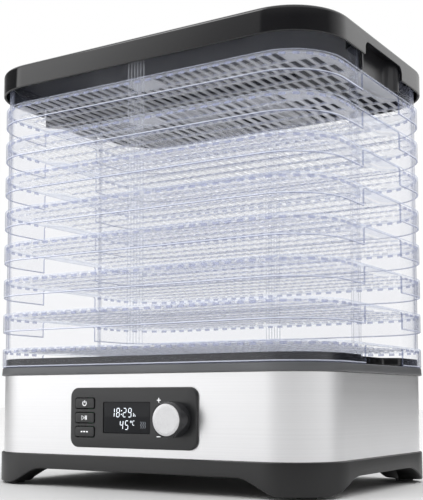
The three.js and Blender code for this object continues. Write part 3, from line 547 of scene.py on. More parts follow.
def make_tray(number):
    low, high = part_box(f"tray_{number}")
    level = high.z - NECK_HEIGHT
    under = level - FLOOR_THICK
    skirt_low = notched(low.z, under - 0.1 * MM, GRIP_CORNER)
    skirt_lip = notched(low.z + TRAY_EDGE, under - 0.05 * MM, GRIP_CORNER)
    line_top = notched(low.z + LINE_HIGH, under - 0.02 * MM, GRIP_CORNER)
    rim = TRAY_EDGE * 1.5
    neck_inner = NECK_INSET + NECK_WALL
    profile = [
        (FLOOR_EDGE, level, neck_scoop, FLOOR),
        (neck_inner, level, neck_scoop, WALL),
        # The lip, the ledge and the top of the skirt carry the painted light-and-shade look.
        (neck_inner, high.z - TRAY_EDGE, neck_scoop, LIP),
        (neck_inner - TRAY_EDGE, high.z, neck_scoop, LIP),
        (NECK_INSET + TRAY_EDGE, high.z, neck_scoop, LIP),
        (NECK_INSET, high.z - TRAY_EDGE, neck_scoop, WALL),
        (NECK_INSET, level, neck_scoop, LIP),
        (rim, level, no_scoop, LIP),
        (0.0, level - rim, no_scoop, LIP),
        (0.0, under, no_scoop, WALL),
        # The band just above the skirt's edge carries the painted light-and-shade line.
        (0.0, line_top, no_scoop, LINE),
        # The skirt's lower edge and its chamfers carry the painted-shade look.
        (0.0, skirt_lip, no_scoop, EDGE),
        (TRAY_EDGE, skirt_low, no_scoop, EDGE),
        (SKIRT_WALL - TRAY_EDGE, skirt_low, no_scoop, EDGE),
        (SKIRT_WALL, skirt_lip, no_scoop, WALL),
        (SKIRT_WALL, under, no_scoop, FLOOR),
        (FLOOR_EDGE, under, neck_scoop, FLOOR),
    ]
    bm = bmesh.new()
    rings = swept(bm, profile)
    # Each slot's bevelled lower rim carries the painted highlight look.
    pierced_fill(bm, rings[0], rings[-1], SLOT_HOLES, level, under, FLOOR, slot_wall, SLOT_BEVEL, RIM)
    # The lugs carry the painted-shade look.
    stacking_lugs(bm, under)
    neck_ribs(bm, level, high.z - 1 * MM)
    finish_object(
        bm, f"clear_tray_{number}", TRAY_LOOKS, f"tray_{number}", f"tray_{number}",
        slot="clear_tray")


for number in range(1, TRAY_COUNT + 1):
    make_tray(number)


# -------------------- lid

LID_PROUD = 2.8 * MM
LID_WALL = 2.2 * MM
LID_SKIN = 1.8 * MM
LID_EDGE = 3.2 * MM
LID_EDGE_STEPS = 6
LID_LIP = 0.6 * MM
LID_COVE = 2 * MM
LID_MIDDLE = 30 * MM
LID_NOTCH_TOP_BELOW = 9.4 * MM
LID_NOTCH_RADIUS = 7 * MM
VENT = {"half_x": 1.3, "half_y": 24.0, "columns": 8, "first": 9.0, "pitch": 9.0}
FRAME_INSET = 0.3 * MM
FRAME_THICK = 1.9 * MM
FRAME_RIM = {"outer": 5.4 * MM, "inner": 7.0 * MM, "high": 7 * MM}
BAY_THICK = 1.8 * MM
BAY_HALF = 40.8 * MM


def vent_holes():
    """Air slots in the lid, in a row on each side of its middle."""
    holes = []
    half_x, half_y = VENT["half_x"] * MM, VENT["half_y"] * MM
    for column in range(VENT["columns"]):
        for side in (-1, 1):
            x = side * (VENT["first"] + column * VENT["pitch"]) * MM
            holes.append(rounded(half_x, half_y, half_x * 0.95, 4, (MID_X + x, MID_Y)))
    return holes


def make_lid():
    low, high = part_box("lid_cover")
    notch_top = high.z - LID_NOTCH_TOP_BELOW
    notch = notched(low.z, notch_top, LID_NOTCH_RADIUS)
    lip = notched(low.z + LID_LIP, notch_top + 0.1 * MM, LID_NOTCH_RADIUS)
    profile = [(-LID_PROUD + LID_LIP, notch, no_scoop, 0), (-LID_PROUD, lip, no_scoop, 0)]
    for i in range(LID_EDGE_STEPS + 1):
        angle = QUARTER * i / LID_EDGE_STEPS
        inset = -LID_PROUD + LID_EDGE * (1 - math.cos(angle))
        profile.append((inset, high.z - LID_EDGE + LID_EDGE * math.sin(angle), no_scoop, 0))
    profile.append((LID_MIDDLE, high.z, no_scoop, 0))
    under = high.z - LID_SKIN
    inner_inset = LID_WALL - LID_PROUD
    inner_profile = [
        (LID_MIDDLE, under, no_scoop, 1),
        (inner_inset + LID_COVE, under, no_scoop, 1),
        (inner_inset, under - LID_COVE, no_scoop, 1),
        (inner_inset, lip, no_scoop, 1),
        (inner_inset - LID_LIP, notch, no_scoop, 1),
    ]
    bm = bmesh.new()
    outer = swept(bm, profile)
    inner = swept(bm, inner_profile)
    bridge(bm, inner[-1], outer[0], 1)
    pierced_fill(bm, outer[-1], inner[0], vent_holes(), high.z, under)
    finish_object(
        bm, "lid_shell", (GLOSS_BLACK, LID_INNER), "lid", "lid_cover", slot="gloss_black", smooth=40)


def band_wall(bm, side, low, high, thick, look):
    """The wall of a grip bay: a curved panel with a rounded lower edge."""
    outer_x = HALF_X - FRAME_INSET
    places = [y for y in SIDE_ALONG if abs(y) <= BAY_HALF]
    soft = thick / 3

    def line(z, draw):
        return [
            bm.verts.new((MID_X + side * (outer_x - bay_scoop(y) - draw), MID_Y + y, z))
            for y in places
        ]

    loops = []
    for z, draw in ((low, soft), (low + soft, 0.0), (high, 0.0)):
        outer = line(z, draw)
        inner = line(z, thick - draw)
        loops.append(outer + inner[::-1])
    joined(bm, loops, look=look)
    last = len(loops[0]) - 1
    for loop in (loops[0], loops[-1]):
        for i in range(len(places) - 1):
            face = bm.faces.new((loop[i], loop[i + 1], loop[last - 1 - i], loop[last - i]))
            face.material_index = look


def make_lid_frame():
    low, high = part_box("lid_frame")
    ceiling = high.z - FRAME_THICK
    opening = rounded(80 * MM, 30 * MM, 8 * MM, 5, (MID_X, MID_Y))
    bm = bmesh.new()
    rings = swept(bm, [(-FRAME_INSET, high.z, no_scoop, 0), (-FRAME_INSET, ceiling, no_scoop, 0)])
    pierced_fill(bm, rings[0], rings[1], [opening], high.z, ceiling)
    tube(bm, FRAME_RIM["outer"], FRAME_RIM["inner"], ceiling, ceiling - FRAME_RIM["high"], neck_scoop)
    for side in (1, -1):
        band_wall(bm, side, low.z, ceiling, BAY_THICK, 1)
    finish_object(bm, "lid_lining", (LID_INNER, BAY_BLACK), "lid", "lid_frame", slot="matt_black")


make_lid()
make_lid_frame()


# -------------------- deck, band and pan

DECK_OPENING = 56 * MM
DECK_OPENING_STEPS = 64
FAN_Y = MID_Y + 8 * MM
BOSS = {"x": 128 * MM, "y": 92 * MM, "radius": 5 * MM, "steps": 20}
BAND_OUTER = 2.8 * MM
BAND_INNER = 3.6 * MM
PAN_INSET = 0.5 * MM
PAN_FLOOR = {"under": 17 * MM, "top": 19.5 * MM}
PAN_SIDE_STEPS = 60
LEG = {"front": (100, 140), "side": (53, 102), "bottom": 2.0, "top": 15.5, "thick": 22.0}
LEG_EDGE = 0.8 * MM
INTAKE = {"half_x": 3 * MM, "half_y": 38 * MM, "radius": 2.8 * MM, "pitch": 11, "reach": 4}


def boss(bm, centre, low, high):
    """A round post that a screw from below goes into."""
    outline = circle(BOSS["radius"], BOSS["steps"], centre)
    top = [bm.verts.new((x, y, high)) for x, y in outline]
    bottom = [bm.verts.new((x, y, low)) for x, y in outline]
    bridge(bm, top, bottom)
    bm.faces.new(top)
    bm.faces.new(bottom[::-1])


def make_deck():
    low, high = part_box("top_deck")
    _, band_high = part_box("steel_band")
    bottom = band_high.z + 0.3 * MM
    shoulder = high.z - 7.8 * MM
    plate_high, plate_low = shoulder - 2.8 * MM, shoulder - 4.8 * MM
    profile = [
        (8 * MM, plate_high, neck_scoop, 0),
        (5.2 * MM, plate_high, neck_scoop, 1),
        (5.2 * MM, high.z - 0.4 * MM, neck_scoop, 1),
        (4.8 * MM, high.z, neck_scoop, 1),
        (3.6 * MM, high.z, neck_scoop, 1),
        (3.2 * MM, high.z - 0.4 * MM, neck_scoop, 1),
        (3.2 * MM, shoulder, neck_scoop, 0),
        (0.8 * MM, shoulder, no_scoop, 0),
        (0.2 * MM, shoulder - 0.6 * MM, no_scoop, 0),
        (0.0 * MM, shoulder - 3 * MM, no_scoop, 0),
        (-0.3 * MM, bottom + 0.9 * MM, no_scoop, 0),
        (-0.1 * MM, bottom + 0.2 * MM, no_scoop, 0),
        (0.4 * MM, bottom, no_scoop, 0),
        (2.0 * MM, bottom, no_scoop, 0),
        (2.0 * MM, plate_low, no_scoop, 0),
        (8 * MM, plate_low, neck_scoop, 0),
    ]
    opening = circle(DECK_OPENING, DECK_OPENING_STEPS, (MID_X, FAN_Y))
    bm = bmesh.new()
    rings = swept(bm, profile)
    pierced_fill(bm, rings[0], rings[-1], [opening], plate_high, plate_low)
    for side_x in (-1, 1):
        for side_y in (-1, 1):
            centre = (MID_X + side_x * BOSS["x"], MID_Y + side_y * BOSS["y"])
            boss(bm, centre, low.z, plate_low + 0.5 * MM)
    finish_object(bm, "deck_shell", (DECK_GREY, GLOSS_BLACK), "base", "top_deck", slot="deck_grey")


def make_band():
    low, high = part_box("steel_band")
    bm = bmesh.new()
    tube(bm, BAND_OUTER, BAND_INNER, low.z, high.z)
    return finish_object(bm, "steel_wrap", (STEEL,), "base", "steel_band", slot="band_steel")


def leg_rise(distance, start, end):
    """Height of the skirt's lower edge at a distance along a side: level, then an S down to the foot."""
    bottom, top = LEG["bottom"] * MM, LEG["top"] * MM
    along = min(1.0, max(0.0, (distance - start * MM) / ((end - start) * MM)))
    return bottom + (top - bottom) * (1 + math.cos(math.pi * along)) / 2


def pan_edge(x, y):
    """Height of the skirt's lower edge at a place on the plan."""
    if HALF_Y - abs(y) < HALF_X - abs(x):
        return leg_rise(abs(x), *LEG["front"])
    return leg_rise(abs(y), *LEG["side"])


def pan_plan(inset):
    """The plan with many points on every side, so that its lower edge can curve."""
    half_x, half_y, radius = HALF_X - inset, HALF_Y - inset, PLAN_RADIUS - inset
    corners = [
        arc((x, y), radius, start, QUARTER, CORNER_STEPS)
        for x, y, start in corner_centres(half_x, half_y, radius)
    ]
    points = []
    for corner, following in zip(corners, corners[1:] + corners[:1]):
        points += corner
        (x0, y0), (x1, y1) = corner[-1], following[0]
        for i in range(1, PAN_SIDE_STEPS):
            t = i / PAN_SIDE_STEPS
            points.append((x0 + (x1 - x0) * t, y0 + (y1 - y0) * t))
    return points


def make_pan():
    _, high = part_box("base_pan")
    floor_under, floor_top = PAN_FLOOR["under"], PAN_FLOOR["top"]
    edge = [pan_edge(x, y) for x, y in pan_plan(PAN_INSET)]
    edge_above = [z + LEG_EDGE for z in edge]
    bm = bmesh.new()

    def ring(inset, level):
        heights = level if isinstance(level, list) else [level] * len(edge)
        return [
            bm.verts.new((MID_X + x, MID_Y + y, z))
            for (x, y), z in zip(pan_plan(inset), heights)
        ]

    leg_in = LEG["thick"] * MM
    profile = [
        (8 * MM, floor_top),
        (3 * MM, floor_top),
        (3 * MM, high.z - 0.3 * MM),
        (2.7 * MM, high.z),
        (0.8 * MM, high.z),
        (0.2 * MM, high.z - 0.4 * MM),
        (0.0, high.z - 1.2 * MM),
        (0.0, edge_above),
        (LEG_EDGE, edge),
        (leg_in - LEG_EDGE, edge),
        (leg_in, edge_above),
        (leg_in, floor_under),
    ]
    rings = [ring(PAN_INSET + inset, level) for inset, level in profile]
    joined(bm, rings)
    holes = [
        rounded(
            INTAKE["half_x"], INTAKE["half_y"], INTAKE["radius"], 3,
            (MID_X + column * INTAKE["pitch"] * MM, FAN_Y))
        for column in range(-INTAKE["reach"], INTAKE["reach"] + 1)
    ]
    pierced_fill(bm, rings[0], rings[-1], holes, floor_top, floor_under)
    finish_object(bm, "base_shell", (SATIN_BLACK,), "base", "base_pan", slot="matt_black")


make_deck()
BAND = make_band()
make_pan()


# -------------------- control panel

SOFT_STEPS = 4
PANEL_THICK = 2.2 * MM
PANEL_SOFT = 0.9 * MM
PANEL_WALL = {"inset": 3.0 * MM, "thick": 1 * MM}
WINDOW_INSET = 2.4 * MM
CUTTER_REACH = 5 * MM
SHAFT_HOLE = 3.6 * MM
DISPLAY_RADIUS = 1.2 * MM
DISPLAY_GAP = 0.3 * MM
BUTTONS = ("button_power", "button_play", "button_set")
BUTTON_BODIES = ("key_power", "key_play", "key_set")
KEY_HOLE = (11.1 * MM, 5.0 * MM, 2.3 * MM)
KEY_CAP = (10.3 * MM, 4.2 * MM, 1.7 * MM)
KEY_LENGTH = 5 * MM
KEY_SOFT = 0.5 * MM
PRINT_THICK = 0.08 * MM


def drawn_in(points, amount):
    """An outline shrunk about its middle, so that each of its sides moves in by amount."""
    xs, zs = [x for x, _ in points], [z for _, z in points]
    cx, cz = (min(xs) + max(xs)) / 2, (min(zs) + max(zs)) / 2
    hx, hz = (max(xs) - min(xs)) / 2, (max(zs) - min(zs)) / 2
    return [(cx + (x - cx) * (hx - amount) / hx, cz + (z - cz) * (hz - amount) / hz) for x, z in points]


def front_ring(bm, outline, y):
    return [bm.verts.new((x, y, z)) for x, z in outline]


def front_solid(bm, outline, back, front, soft=0.0, holes=()):
    """A flat piece on the front, drawn in x and z, with a softened front edge."""
    rings = [front_ring(bm, outline, back), front_ring(bm, outline, front + soft)]
    for i in range(1, SOFT_STEPS + 1 if soft else 1):
        angle = QUARTER * i / SOFT_STEPS
        drawn = drawn_in(outline, soft * (1 - math.cos(angle)))
        rings.append(front_ring(bm, drawn, front + soft * (1 - math.sin(angle))))
    joined(bm, rings)
    front_loops, back_loops = [rings[-1]], [rings[0]]
    for hole in holes:
        front_loops.append(front_ring(bm, hole, front))
        back_loops.append(front_ring(bm, hole, back))
        bridge(bm, front_loops[-1], back_loops[-1])
    fill_between(bm, front_loops)
    fill_between(bm, back_loops)


def node_centre(node):
    """The middle of a CAD node's box, and half of its size."""
    low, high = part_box(node)
    return (low + high) / 2, (high - low) / 2


def panel_outline(inset, radius, steps):
    """The panel's outline drawn in by inset."""
    centre, half = node_centre("panel_plate")
    return rounded(half.x - inset, half.z - inset, radius, steps, (centre.x, centre.z))


def panel_holes():
    """The openings for the display, the knob's shaft and the keys."""
    display, half = node_centre("display_window")
    knob, _ = node_centre("knob_body")
    holes = [
        rounded(
            half.x + DISPLAY_GAP, half.z + DISPLAY_GAP, DISPLAY_RADIUS + 0.1 * MM, 4, (display.x, display.z)),
        circle(SHAFT_HOLE, 32, (knob.x, knob.z)),
    ]
    for name in BUTTONS:
        place, _ = node_centre(name)
        holes.append(rounded(*KEY_HOLE, 4, (place.x, place.z)))
    return holes


def make_panel():
    low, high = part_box("panel_plate")
    back = low.y + PANEL_THICK
    inset = PANEL_WALL["inset"]
    bm = bmesh.new()
    front_solid(bm, panel_outline(0.0, 8 * MM, 10), back, low.y, PANEL_SOFT, panel_holes())
    inner = panel_outline(inset + PANEL_WALL["thick"], 4 * MM, 8)
    front_solid(bm, panel_outline(inset, 5 * MM, 8), high.y, back, holes=[inner])
    finish_object(bm, "panel_face", (PANEL_GREY,), "base", "panel_plate", slot="panel_grey")


def open_band():
    """Cuts the panel's opening into the steel band."""
    low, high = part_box("panel_plate")
    bm = bmesh.new()
    window = panel_outline(WINDOW_INSET, 5.6 * MM, 8)
    front_solid(bm, window, high.y + CUTTER_REACH, low.y - CUTTER_REACH)
    bmesh.ops.recalc_face_normals(bm, faces=bm.faces)
    cutter = placed("window_cutter", mesh_of(bm, "window_cutter"))
    boolean = BAND.modifiers.new("window", "BOOLEAN")
    boolean.object = cutter
    boolean.operation = "DIFFERENCE"
    boolean.solver = "EXACT"
    graph = bpy.context.evaluated_depsgraph_get()
    cleaned = bpy.data.meshes.new_from_object(BAND.evaluated_get(graph))
    BAND.modifiers.clear()
    BAND.data = cleaned
    bpy.data.objects.remove(cutter)


def make_window():
    low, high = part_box("display_window")
    centre, half = node_centre("display_window")
    outline = rounded(half.x, half.z, DISPLAY_RADIUS, 5, (centre.x, centre.z))
    bm = bmesh.new()
    front_solid(bm, outline, high.y, low.y, 0.25 * MM)
    finish_object(bm, "display_lens", (SCREEN,), "base", "display_window", slot="screen_black", smooth=30)


def make_keys():
    for name, body in zip(BUTTONS, BUTTON_BODIES):
        low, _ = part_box(name)
        centre, _ = node_centre(name)
        outline = rounded(*KEY_CAP, 5, (centre.x, centre.z))
        bm = bmesh.new()
        front_solid(bm, outline, low.y + KEY_LENGTH, low.y, KEY_SOFT)
        finish_object(bm, name.replace("button", "key"), (KEY_GREY,), body, name, slot="panel_grey")


def stroke(bm, points, width, y, closed=False):
    """A printed line on the front: a flat ribbon along points in x and z."""
    count = len(points)
    loops = []
    for i, (x, z) in enumerate(points):
        before = points[(i - 1) % count] if closed or i > 0 else points[i]
        after = points[(i + 1) % count] if closed or i < count - 1 else points[i]
        direction = Vector((after[0] - before[0], after[1] - before[1])).normalized()
        side = Vector((-direction.y, direction.x)) * width / 2
        one, other = (x + side.x, z + side.y), (x - side.x, z - side.y)
        loops.append(front_ring(bm, (one, other), y) + front_ring(bm, (other, one), y - PRINT_THICK))
    joined(bm, loops, closed)
    if not closed:
        bm.faces.new(loops[0])
        bm.faces.new(loops[-1][::-1])


# -------------------- signs and reading

SIGN_LINE = 0.7 * MM
RING_START = math.radians(125)
RING_SWEEP = math.radians(415) - RING_START


def power_sign(bm, face):
    """A ring open at the top, with a bar in the gap."""
    c, _ = node_centre("button_power")
    ring = arc((c.x, c.z), 2.0 * MM, RING_START, RING_SWEEP, 20)
    stroke(bm, ring, SIGN_LINE, face)
    stroke(bm, [(c.x, c.z + 0.4 * MM), (c.x, c.z + 2.6 * MM)], SIGN_LINE, face)


def play_sign(bm, face):
    """A triangle and two bars."""
    c, _ = node_centre("button_play")
    x, z, s = c.x - 1.6 * MM, c.z, 1.8 * MM
    triangle = [(x - s * 0.7, z - s), (x + s * 0.9, z), (x - s * 0.7, z + s)]
    stroke(bm, triangle, SIGN_LINE, face, closed=True)
    for offset in (2.6, 3.9):
        stroke(bm, [(x + offset * MM, z - s), (x + offset * MM, z + s)], SIGN_LINE, face)


def set_sign(bm, face):
    """Three short bars in a row."""
    c, _ = node_centre("button_set")
    for offset in (-3, 0, 3):
        x = c.x + offset * MM
        stroke(bm, [(x - 0.9 * MM, c.z), (x + 0.9 * MM, c.z)], 1.1 * MM, face)


def plus_minus_sign(bm, face):
    """A plus above and a minus below, left of the knob. The plus has its upright in two halves."""
    knob, _ = node_centre("knob_body")
    x, size, gap = knob.x - 17.2 * MM, 1.9 * MM, 0.35 * MM
    plus, minus = knob.z + 15.6 * MM, knob.z - 14.2 * MM
    stroke(bm, [(x - size, plus), (x + size, plus)], SIGN_LINE, face)
    stroke(bm, [(x, plus - size), (x, plus - gap)], SIGN_LINE, face)
    stroke(bm, [(x, plus + gap), (x, plus + size)], SIGN_LINE, face)
    stroke(bm, [(x - size, minus), (x + size, minus)], SIGN_LINE, face)


def make_signs():
    """Generic signs on the keys, and plus and minus beside the knob."""
    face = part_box("button_power")[0].y
    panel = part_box("panel_plate")[0].y
    signs = (
        ("sign_power", "key_power", power_sign, face),
        ("sign_play", "key_play", play_sign, face),
        ("sign_set", "key_set", set_sign, face),
        ("sign_plus_minus", "base", plus_minus_sign, panel),
    )
    for name, body, draw, y in signs:
        bm = bmesh.new()
        draw(bm, y)
        finish_object(bm, name, (PRINT_WHITE,), body, slot="panel_grey", smooth=0)


# Which of the seven bars a sign lights: a is the top one, then clockwise to f, and g is the middle one.
SEGMENTS = {
    "1": "bc", "2": "abged", "4": "fgbc", "5": "afgcd", "8": "abcdefg", "9": "abcdfg",
    "C": "adef", "h": "fegc", "o": "abfg",
}
LEAN = 0.08
DIGIT = {"width": 2.9 * MM, "height": 7.2 * MM, "line": 0.55 * MM}
DIGIT_STEP = 5.4 * MM
SMALL_HEIGHT = 3.6 * MM
SMALL_LINE = 0.5 * MM


def digit(bm, sign, x, z, y, width, height, line):
    """One seven-bar sign, with its lower left corner at x, z and a slight lean."""
    def at(px, pz):
        return (x + px + LEAN * pz, z + pz)

    gap = line * 0.62
    half = height / 2
    bars = {
        "a": (at(gap, height), at(width - gap, height)),
        "g": (at(gap, half), at(width - gap, half)),
        "d": (at(gap, 0), at(width - gap, 0)),
        "f": (at(0, half + gap), at(0, height - gap)),
        "e": (at(0, gap), at(0, half - gap)),
        "b": (at(width, half + gap), at(width, height - gap)),
        "c": (at(width, gap), at(width, half - gap)),
    }
    for bar in SEGMENTS[sign]:
        stroke(bm, list(bars[bar]), line, y)


def draw_time(bm, y, left, level):
    """Hours and minutes, a colon between them, and a small h after them."""
    for i, sign in enumerate("18"):
        digit(bm, sign, left + i * DIGIT_STEP, level, y, **DIGIT)
    for i, sign in enumerate("29"):
        digit(bm, sign, left + 2 * DIGIT_STEP + 1.5 * MM + i * DIGIT_STEP, level, y, **DIGIT)
    for z in (level + 2.2 * MM, level + 5.2 * MM):
        x = left + 2 * DIGIT_STEP - 0.4 * MM + LEAN * (z - level)
        stroke(bm, [(x - 0.45 * MM, z), (x + 0.45 * MM, z)], 0.9 * MM, y)
    digit(bm, "h", left + 4 * DIGIT_STEP + 1.6 * MM, level, y, 1.7 * MM, SMALL_HEIGHT, SMALL_LINE)


def draw_temperature(bm, y, left, level):
    """Two digits, then a small degree sign and C at their top."""
    for i, sign in enumerate("45"):
        digit(bm, sign, left + i * DIGIT_STEP, level, y, **DIGIT)
    after = left + 2 * DIGIT_STEP
    raised = level + DIGIT["height"] - SMALL_HEIGHT
    digit(bm, "o", after, raised + 0.4 * MM, y, 1.1 * MM, 3.2 * MM, 0.45 * MM)
    digit(bm, "C", after + 2.4 * MM, raised, y, 2.0 * MM, SMALL_HEIGHT, SMALL_LINE)


def make_reading():
    """The time and the temperature on the display, and a faint sign of warm air."""
    low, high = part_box("display_window")
    lower = low.z + 3.2 * MM
    bm = bmesh.new()
    draw_time(bm, low.y, low.x + 8.2 * MM, high.z - 12.4 * MM)
    draw_temperature(bm, low.y, low.x + 17.3 * MM, lower)
    finish_object(bm, "display_reading", (GLOW,), "base", slot="screen_black", smooth=0)
    bm = bmesh.new()
    for i in range(3):
        x = low.x + (39.0 + i * 2.1) * MM
        points = [(x + (j % 2) * 0.7 * MM, lower + (1.0 + j * 1.4) * MM) for j in range(5)]
        stroke(bm, points, 0.35 * MM, low.y)
    finish_object(bm, "display_waves", (FAINT_GLOW,), "base", slot="screen_black", smooth=0)


# -------------------- knob

TURN_STEPS = 72
KNOB_BORE = 3.3 * MM
KNOB_BORE_DEEP = 9 * MM
KNOB_RECESS = {"radius": 13.5 * MM, "deep": 1.6 * MM}


def turned_front(bm, profile, centre, back):
    """A turned piece on an axis out of the front: profile is (radius, distance out)."""
    rings = []
    for radius, out in profile:
        if radius == 0:
            rings.append([bm.verts.new((centre.x, back - out, centre.z))])
        else:
            rings.append(front_ring(bm, circle(radius, TURN_STEPS, (centre.x, centre.z)), back - out))
    for first, second in zip(rings, rings[1:]):
        if len(first) > 1 and len(second) > 1:
            bridge(bm, first, second)
            continue
        tip, rim = (first[0], second) if len(first) == 1 else (second[0], first)
        for i, vertex in enumerate(rim):
            bm.faces.new((tip, vertex, rim[(i + 1) % len(rim)]))


def make_knob():
    """The knob's black body, with a recess in its front that the bright face sits in."""
    low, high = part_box("knob_body")
    centre, half = node_centre("knob_body")
    radius, length = half.x, high.y - low.y
    recess_floor = length - KNOB_RECESS["deep"]
    bm = bmesh.new()
    turned_front(bm, [
        (KNOB_BORE, KNOB_BORE_DEEP),
        (KNOB_BORE, 0.0),
        (radius - 0.6 * MM, 0.0),
        (radius, 0.6 * MM),
        (radius, length - 1.2 * MM),
        (radius - 0.3 * MM, length - 0.5 * MM),
        (radius - 0.7 * MM, length - 0.1 * MM),
        (KNOB_RECESS["radius"], length),
        (KNOB_RECESS["radius"], recess_floor),
        (0, recess_floor),
    ], centre, high.y)
    finish_object(bm, "knob_shell", (KNOB_BLACK,), "knob", "knob_body", slot="matt_black")


def make_knob_face():
    low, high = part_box("knob_cap")
    centre, half = node_centre("knob_cap")
    radius, thick = half.x, high.y - low.y
    bm = bmesh.new()
    turned_front(bm, [
        (0, 0.0),
        (radius, 0.0),
        (radius, thick - 0.45 * MM),
        (radius - 0.3 * MM, thick - 0.1 * MM),
        (radius - 0.8 * MM, thick),
        (radius - 3 * MM, thick - 0.02 * MM),
        (0, thick - 0.05 * MM),
    ], centre, high.y)
    finish_object(bm, "knob_face", (SILVER,), "knob", "knob_cap", slot="knob_silver")


make_panel()
open_band()
make_window()
make_keys()
make_signs()
make_reading()
make_knob()
make_knob_face()


# -------------------- looks of the pieces kept from the frame

KEPT = {
    BRIGHT: ["encoder_body", "encoder_shaft", "fan_shaft", "fan_motor", "motor_bracket", "heater_element",
             "thermostat", *(f"base_screw_{number}" for number in range(1, 5))],
    SATIN_BLACK: ["outlet_grille", "cord_inlet", "fan_impeller"],
    DECK_GREY: ["fan_duct"],
    SCREEN: ["display_module"],
    BOARD: ["control_board", "power_board"],
    MICA: ["heater_support"],
    RUBBER: [f"foot_pad_{number}" for number in range(1, 5)],
}
for material, names in KEPT.items():
    for name in names:
        kept = bpy.data.objects[name].data
        kept.materials.clear()
        kept.materials.append(material)


# -------------------- studio

# Brightness of the studio round the object: degrees from the front towards the right, and the light there.
UPPER_LIGHT = (
    (-180, 0.8), (-100, 0.12), (-62, 0.12), (-57, 2.4), (-43, 2.0), (-30, 0.7), (-26, 0.6), (-22, 0.15),
    (40, 0.12), (100, 0.2), (130, 1.0), (150, 1.6), (180, 0.8))
LEVEL_LIGHT = (
    (-180, 0.3), (-125, 0.3), (-90, 0.5), (-65, 1.6), (-43, 1.8), (-20, 1.5), (0, 1.0), (32, 0.9), (70, 1.1),
    (100, 1.2), (122, 0.2), (140, 0.02), (180, 0.05))
OVERHEAD_LIGHT = 1.25
LIGHT_SCALE = 3.0
FILL_GAIN = 2.8
# Heights of a direction, from 0 level to 1 straight up, between which one light gives way to the next.
LEVEL_TO_UPPER = (0.10, 0.22)
UPPER_TO_OVERHEAD = (0.45, 0.65)
# A mix node's colour sockets.
MIX_A, MIX_B, MIX_RESULT = 6, 7, 2
FLOOR_HALF = 6.0
FLOOR_TONE = (0.38, 0.38, 0.38)
KEY_LIGHT = {"place": (-1.1, -1.5, 2.2), "target": (0, 0, 0.2), "size": 1.0, "power": 14}


def ramp_of(tree, source, stops):
    """A brightness looked up by the turn round the object."""
    ramp = add_node(tree, "ShaderNodeValToRGB")
    elements = ramp.color_ramp.elements
    while len(elements) < len(stops):
        elements.new(0.5)
    for element, (degrees, light) in zip(elements, stops):
        element.position = (degrees + 180) / 360
        element.color = (*[light / LIGHT_SCALE] * 3, 1)
    tree.links.new(source, ramp.inputs["Fac"])
    return ramp.outputs["Color"]


def turn_share(tree, parts):
    """The turn round the object as a share of a whole turn: a half is the front, more is to the right."""
    flipped = add_node(tree, "ShaderNodeMath")
    flipped.operation = "MULTIPLY"
    flipped.inputs[1].default_value = -1
    tree.links.new(parts.outputs["Y"], flipped.inputs[0])
    turn = add_node(tree, "ShaderNodeMath")
    turn.operation = "ARCTAN2"
    tree.links.new(parts.outputs["X"], turn.inputs[0])
    tree.links.new(flipped.outputs["Value"], turn.inputs[1])
    share = add_node(tree, "ShaderNodeMapRange", From_Min=-math.pi, From_Max=math.pi)
    tree.links.new(turn.outputs["Value"], share.inputs["Value"])
    return share.outputs["Result"]


def mixed(tree, factor, first, second):
    """A colour between first and second. second is a socket or a plain brightness."""
    mix = tree.nodes.new("ShaderNodeMix")
    mix.data_type = "RGBA"
    tree.links.new(factor, mix.inputs["Factor"])
    tree.links.new(first, mix.inputs[MIX_A])
    if isinstance(second, float):
        mix.inputs[MIX_B].default_value = (second, second, second, 1)
    else:
        tree.links.new(second, mix.inputs[MIX_B])
    return mix.outputs[MIX_RESULT]


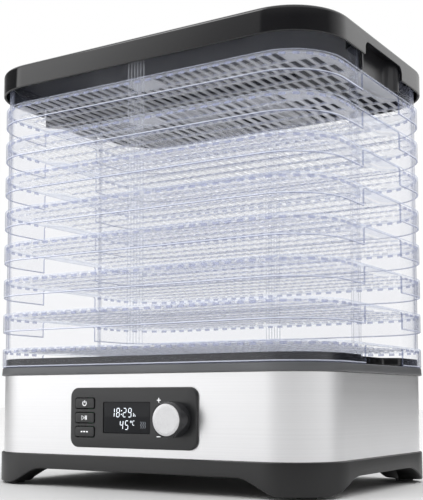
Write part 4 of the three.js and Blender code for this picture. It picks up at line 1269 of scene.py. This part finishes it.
def make_surroundings():
    """Soft boxes and black cards as the surfaces see them; the backdrop itself is plain white."""
    world = bpy.data.worlds.new("studio")
    world.use_nodes = True
    tree = world.node_tree
    place = add_node(tree, "ShaderNodeTexCoord")
    parts = add_node(tree, "ShaderNodeSeparateXYZ")
    tree.links.new(place.outputs["Generated"], parts.inputs["Vector"])
    share = turn_share(tree, parts)

    def by_height(span, first, second):
        amount = add_node(tree, "ShaderNodeMapRange", From_Min=span[0], From_Max=span[1])
        tree.links.new(parts.outputs["Z"], amount.inputs["Value"])
        return mixed(tree, amount.outputs["Result"], first, second)

    upper, level = ramp_of(tree, share, UPPER_LIGHT), ramp_of(tree, share, LEVEL_LIGHT)
    sides = by_height(LEVEL_TO_UPPER, level, upper)
    dome = by_height(UPPER_TO_OVERHEAD, sides, OVERHEAD_LIGHT / LIGHT_SCALE)
    scaled = add_node(tree, "ShaderNodeVectorMath")
    scaled.operation = "SCALE"
    tree.links.new(dome, scaled.inputs[0])
    rays = add_node(tree, "ShaderNodeLightPath")
    fill = add_node(tree, "ShaderNodeMapRange", To_Min=LIGHT_SCALE, To_Max=LIGHT_SCALE * FILL_GAIN)
    tree.links.new(rays.outputs["Is Diffuse Ray"], fill.inputs["Value"])
    tree.links.new(fill.outputs["Result"], scaled.inputs["Scale"])
    seen = mixed(tree, rays.outputs["Is Camera Ray"], scaled.outputs[0], 1.0)
    tree.links.new(seen, tree.nodes["Background"].inputs["Color"])
    bpy.context.scene.world = world


def make_floor():
    bm = bmesh.new()
    signs = ((-1, -1), (1, -1), (1, 1), (-1, 1))
    bm.faces.new([bm.verts.new((x * FLOOR_HALF, y * FLOOR_HALF, 0)) for x, y in signs])
    mesh = mesh_of(bm, "studio_floor")
    mesh.materials.append(moulded("studio_floor", FLOOR_TONE, 0.6))
    floor = placed("studio_floor", mesh)


def make_key_light():
    light = bpy.data.lights.new("key_light", "AREA")
    light.shape = "RECTANGLE"
    light.size = light.size_y = KEY_LIGHT["size"]
    light.energy = KEY_LIGHT["power"]
    lamp = placed("key_light", light)
    lamp.location = KEY_LIGHT["place"]
    lamp.rotation_mode = "QUATERNION"
    aim = Vector(KEY_LIGHT["target"]) - Vector(KEY_LIGHT["place"])
    lamp.rotation_quaternion = aim.to_track_quat("-Z", "Y")


# Angles in radians, lengths in metres but for the lens, which is in millimetres.
CAMERA = {
    "azimuth": 0.56107, "distance": 0.93563, "height": 0.0765, "tilt": 0.0797,
    "lens": 71.3, "sensor": 36.0, "shift": 0.14,
}


def make_camera():
    """A low camera in front and to the right, looking slightly up."""
    data = bpy.data.cameras.new("camera")
    data.sensor_width = CAMERA["sensor"]
    data.lens = CAMERA["lens"]
    data.shift_y = CAMERA["shift"]
    azimuth, distance = CAMERA["azimuth"], CAMERA["distance"]
    camera = placed("camera", data)
    camera.location = (
        MID_X + distance * math.sin(azimuth), MID_Y - distance * math.cos(azimuth), CAMERA["height"])
    camera.rotation_euler = (QUARTER + CAMERA["tilt"], 0, azimuth)
    bpy.context.scene.camera = camera


make_floor()
make_surroundings()
make_key_light()
make_camera()
bpy.context.scene.view_settings.view_transform = "Standard"
bpy.context.scene.cycles.transparent_max_bounces = 96
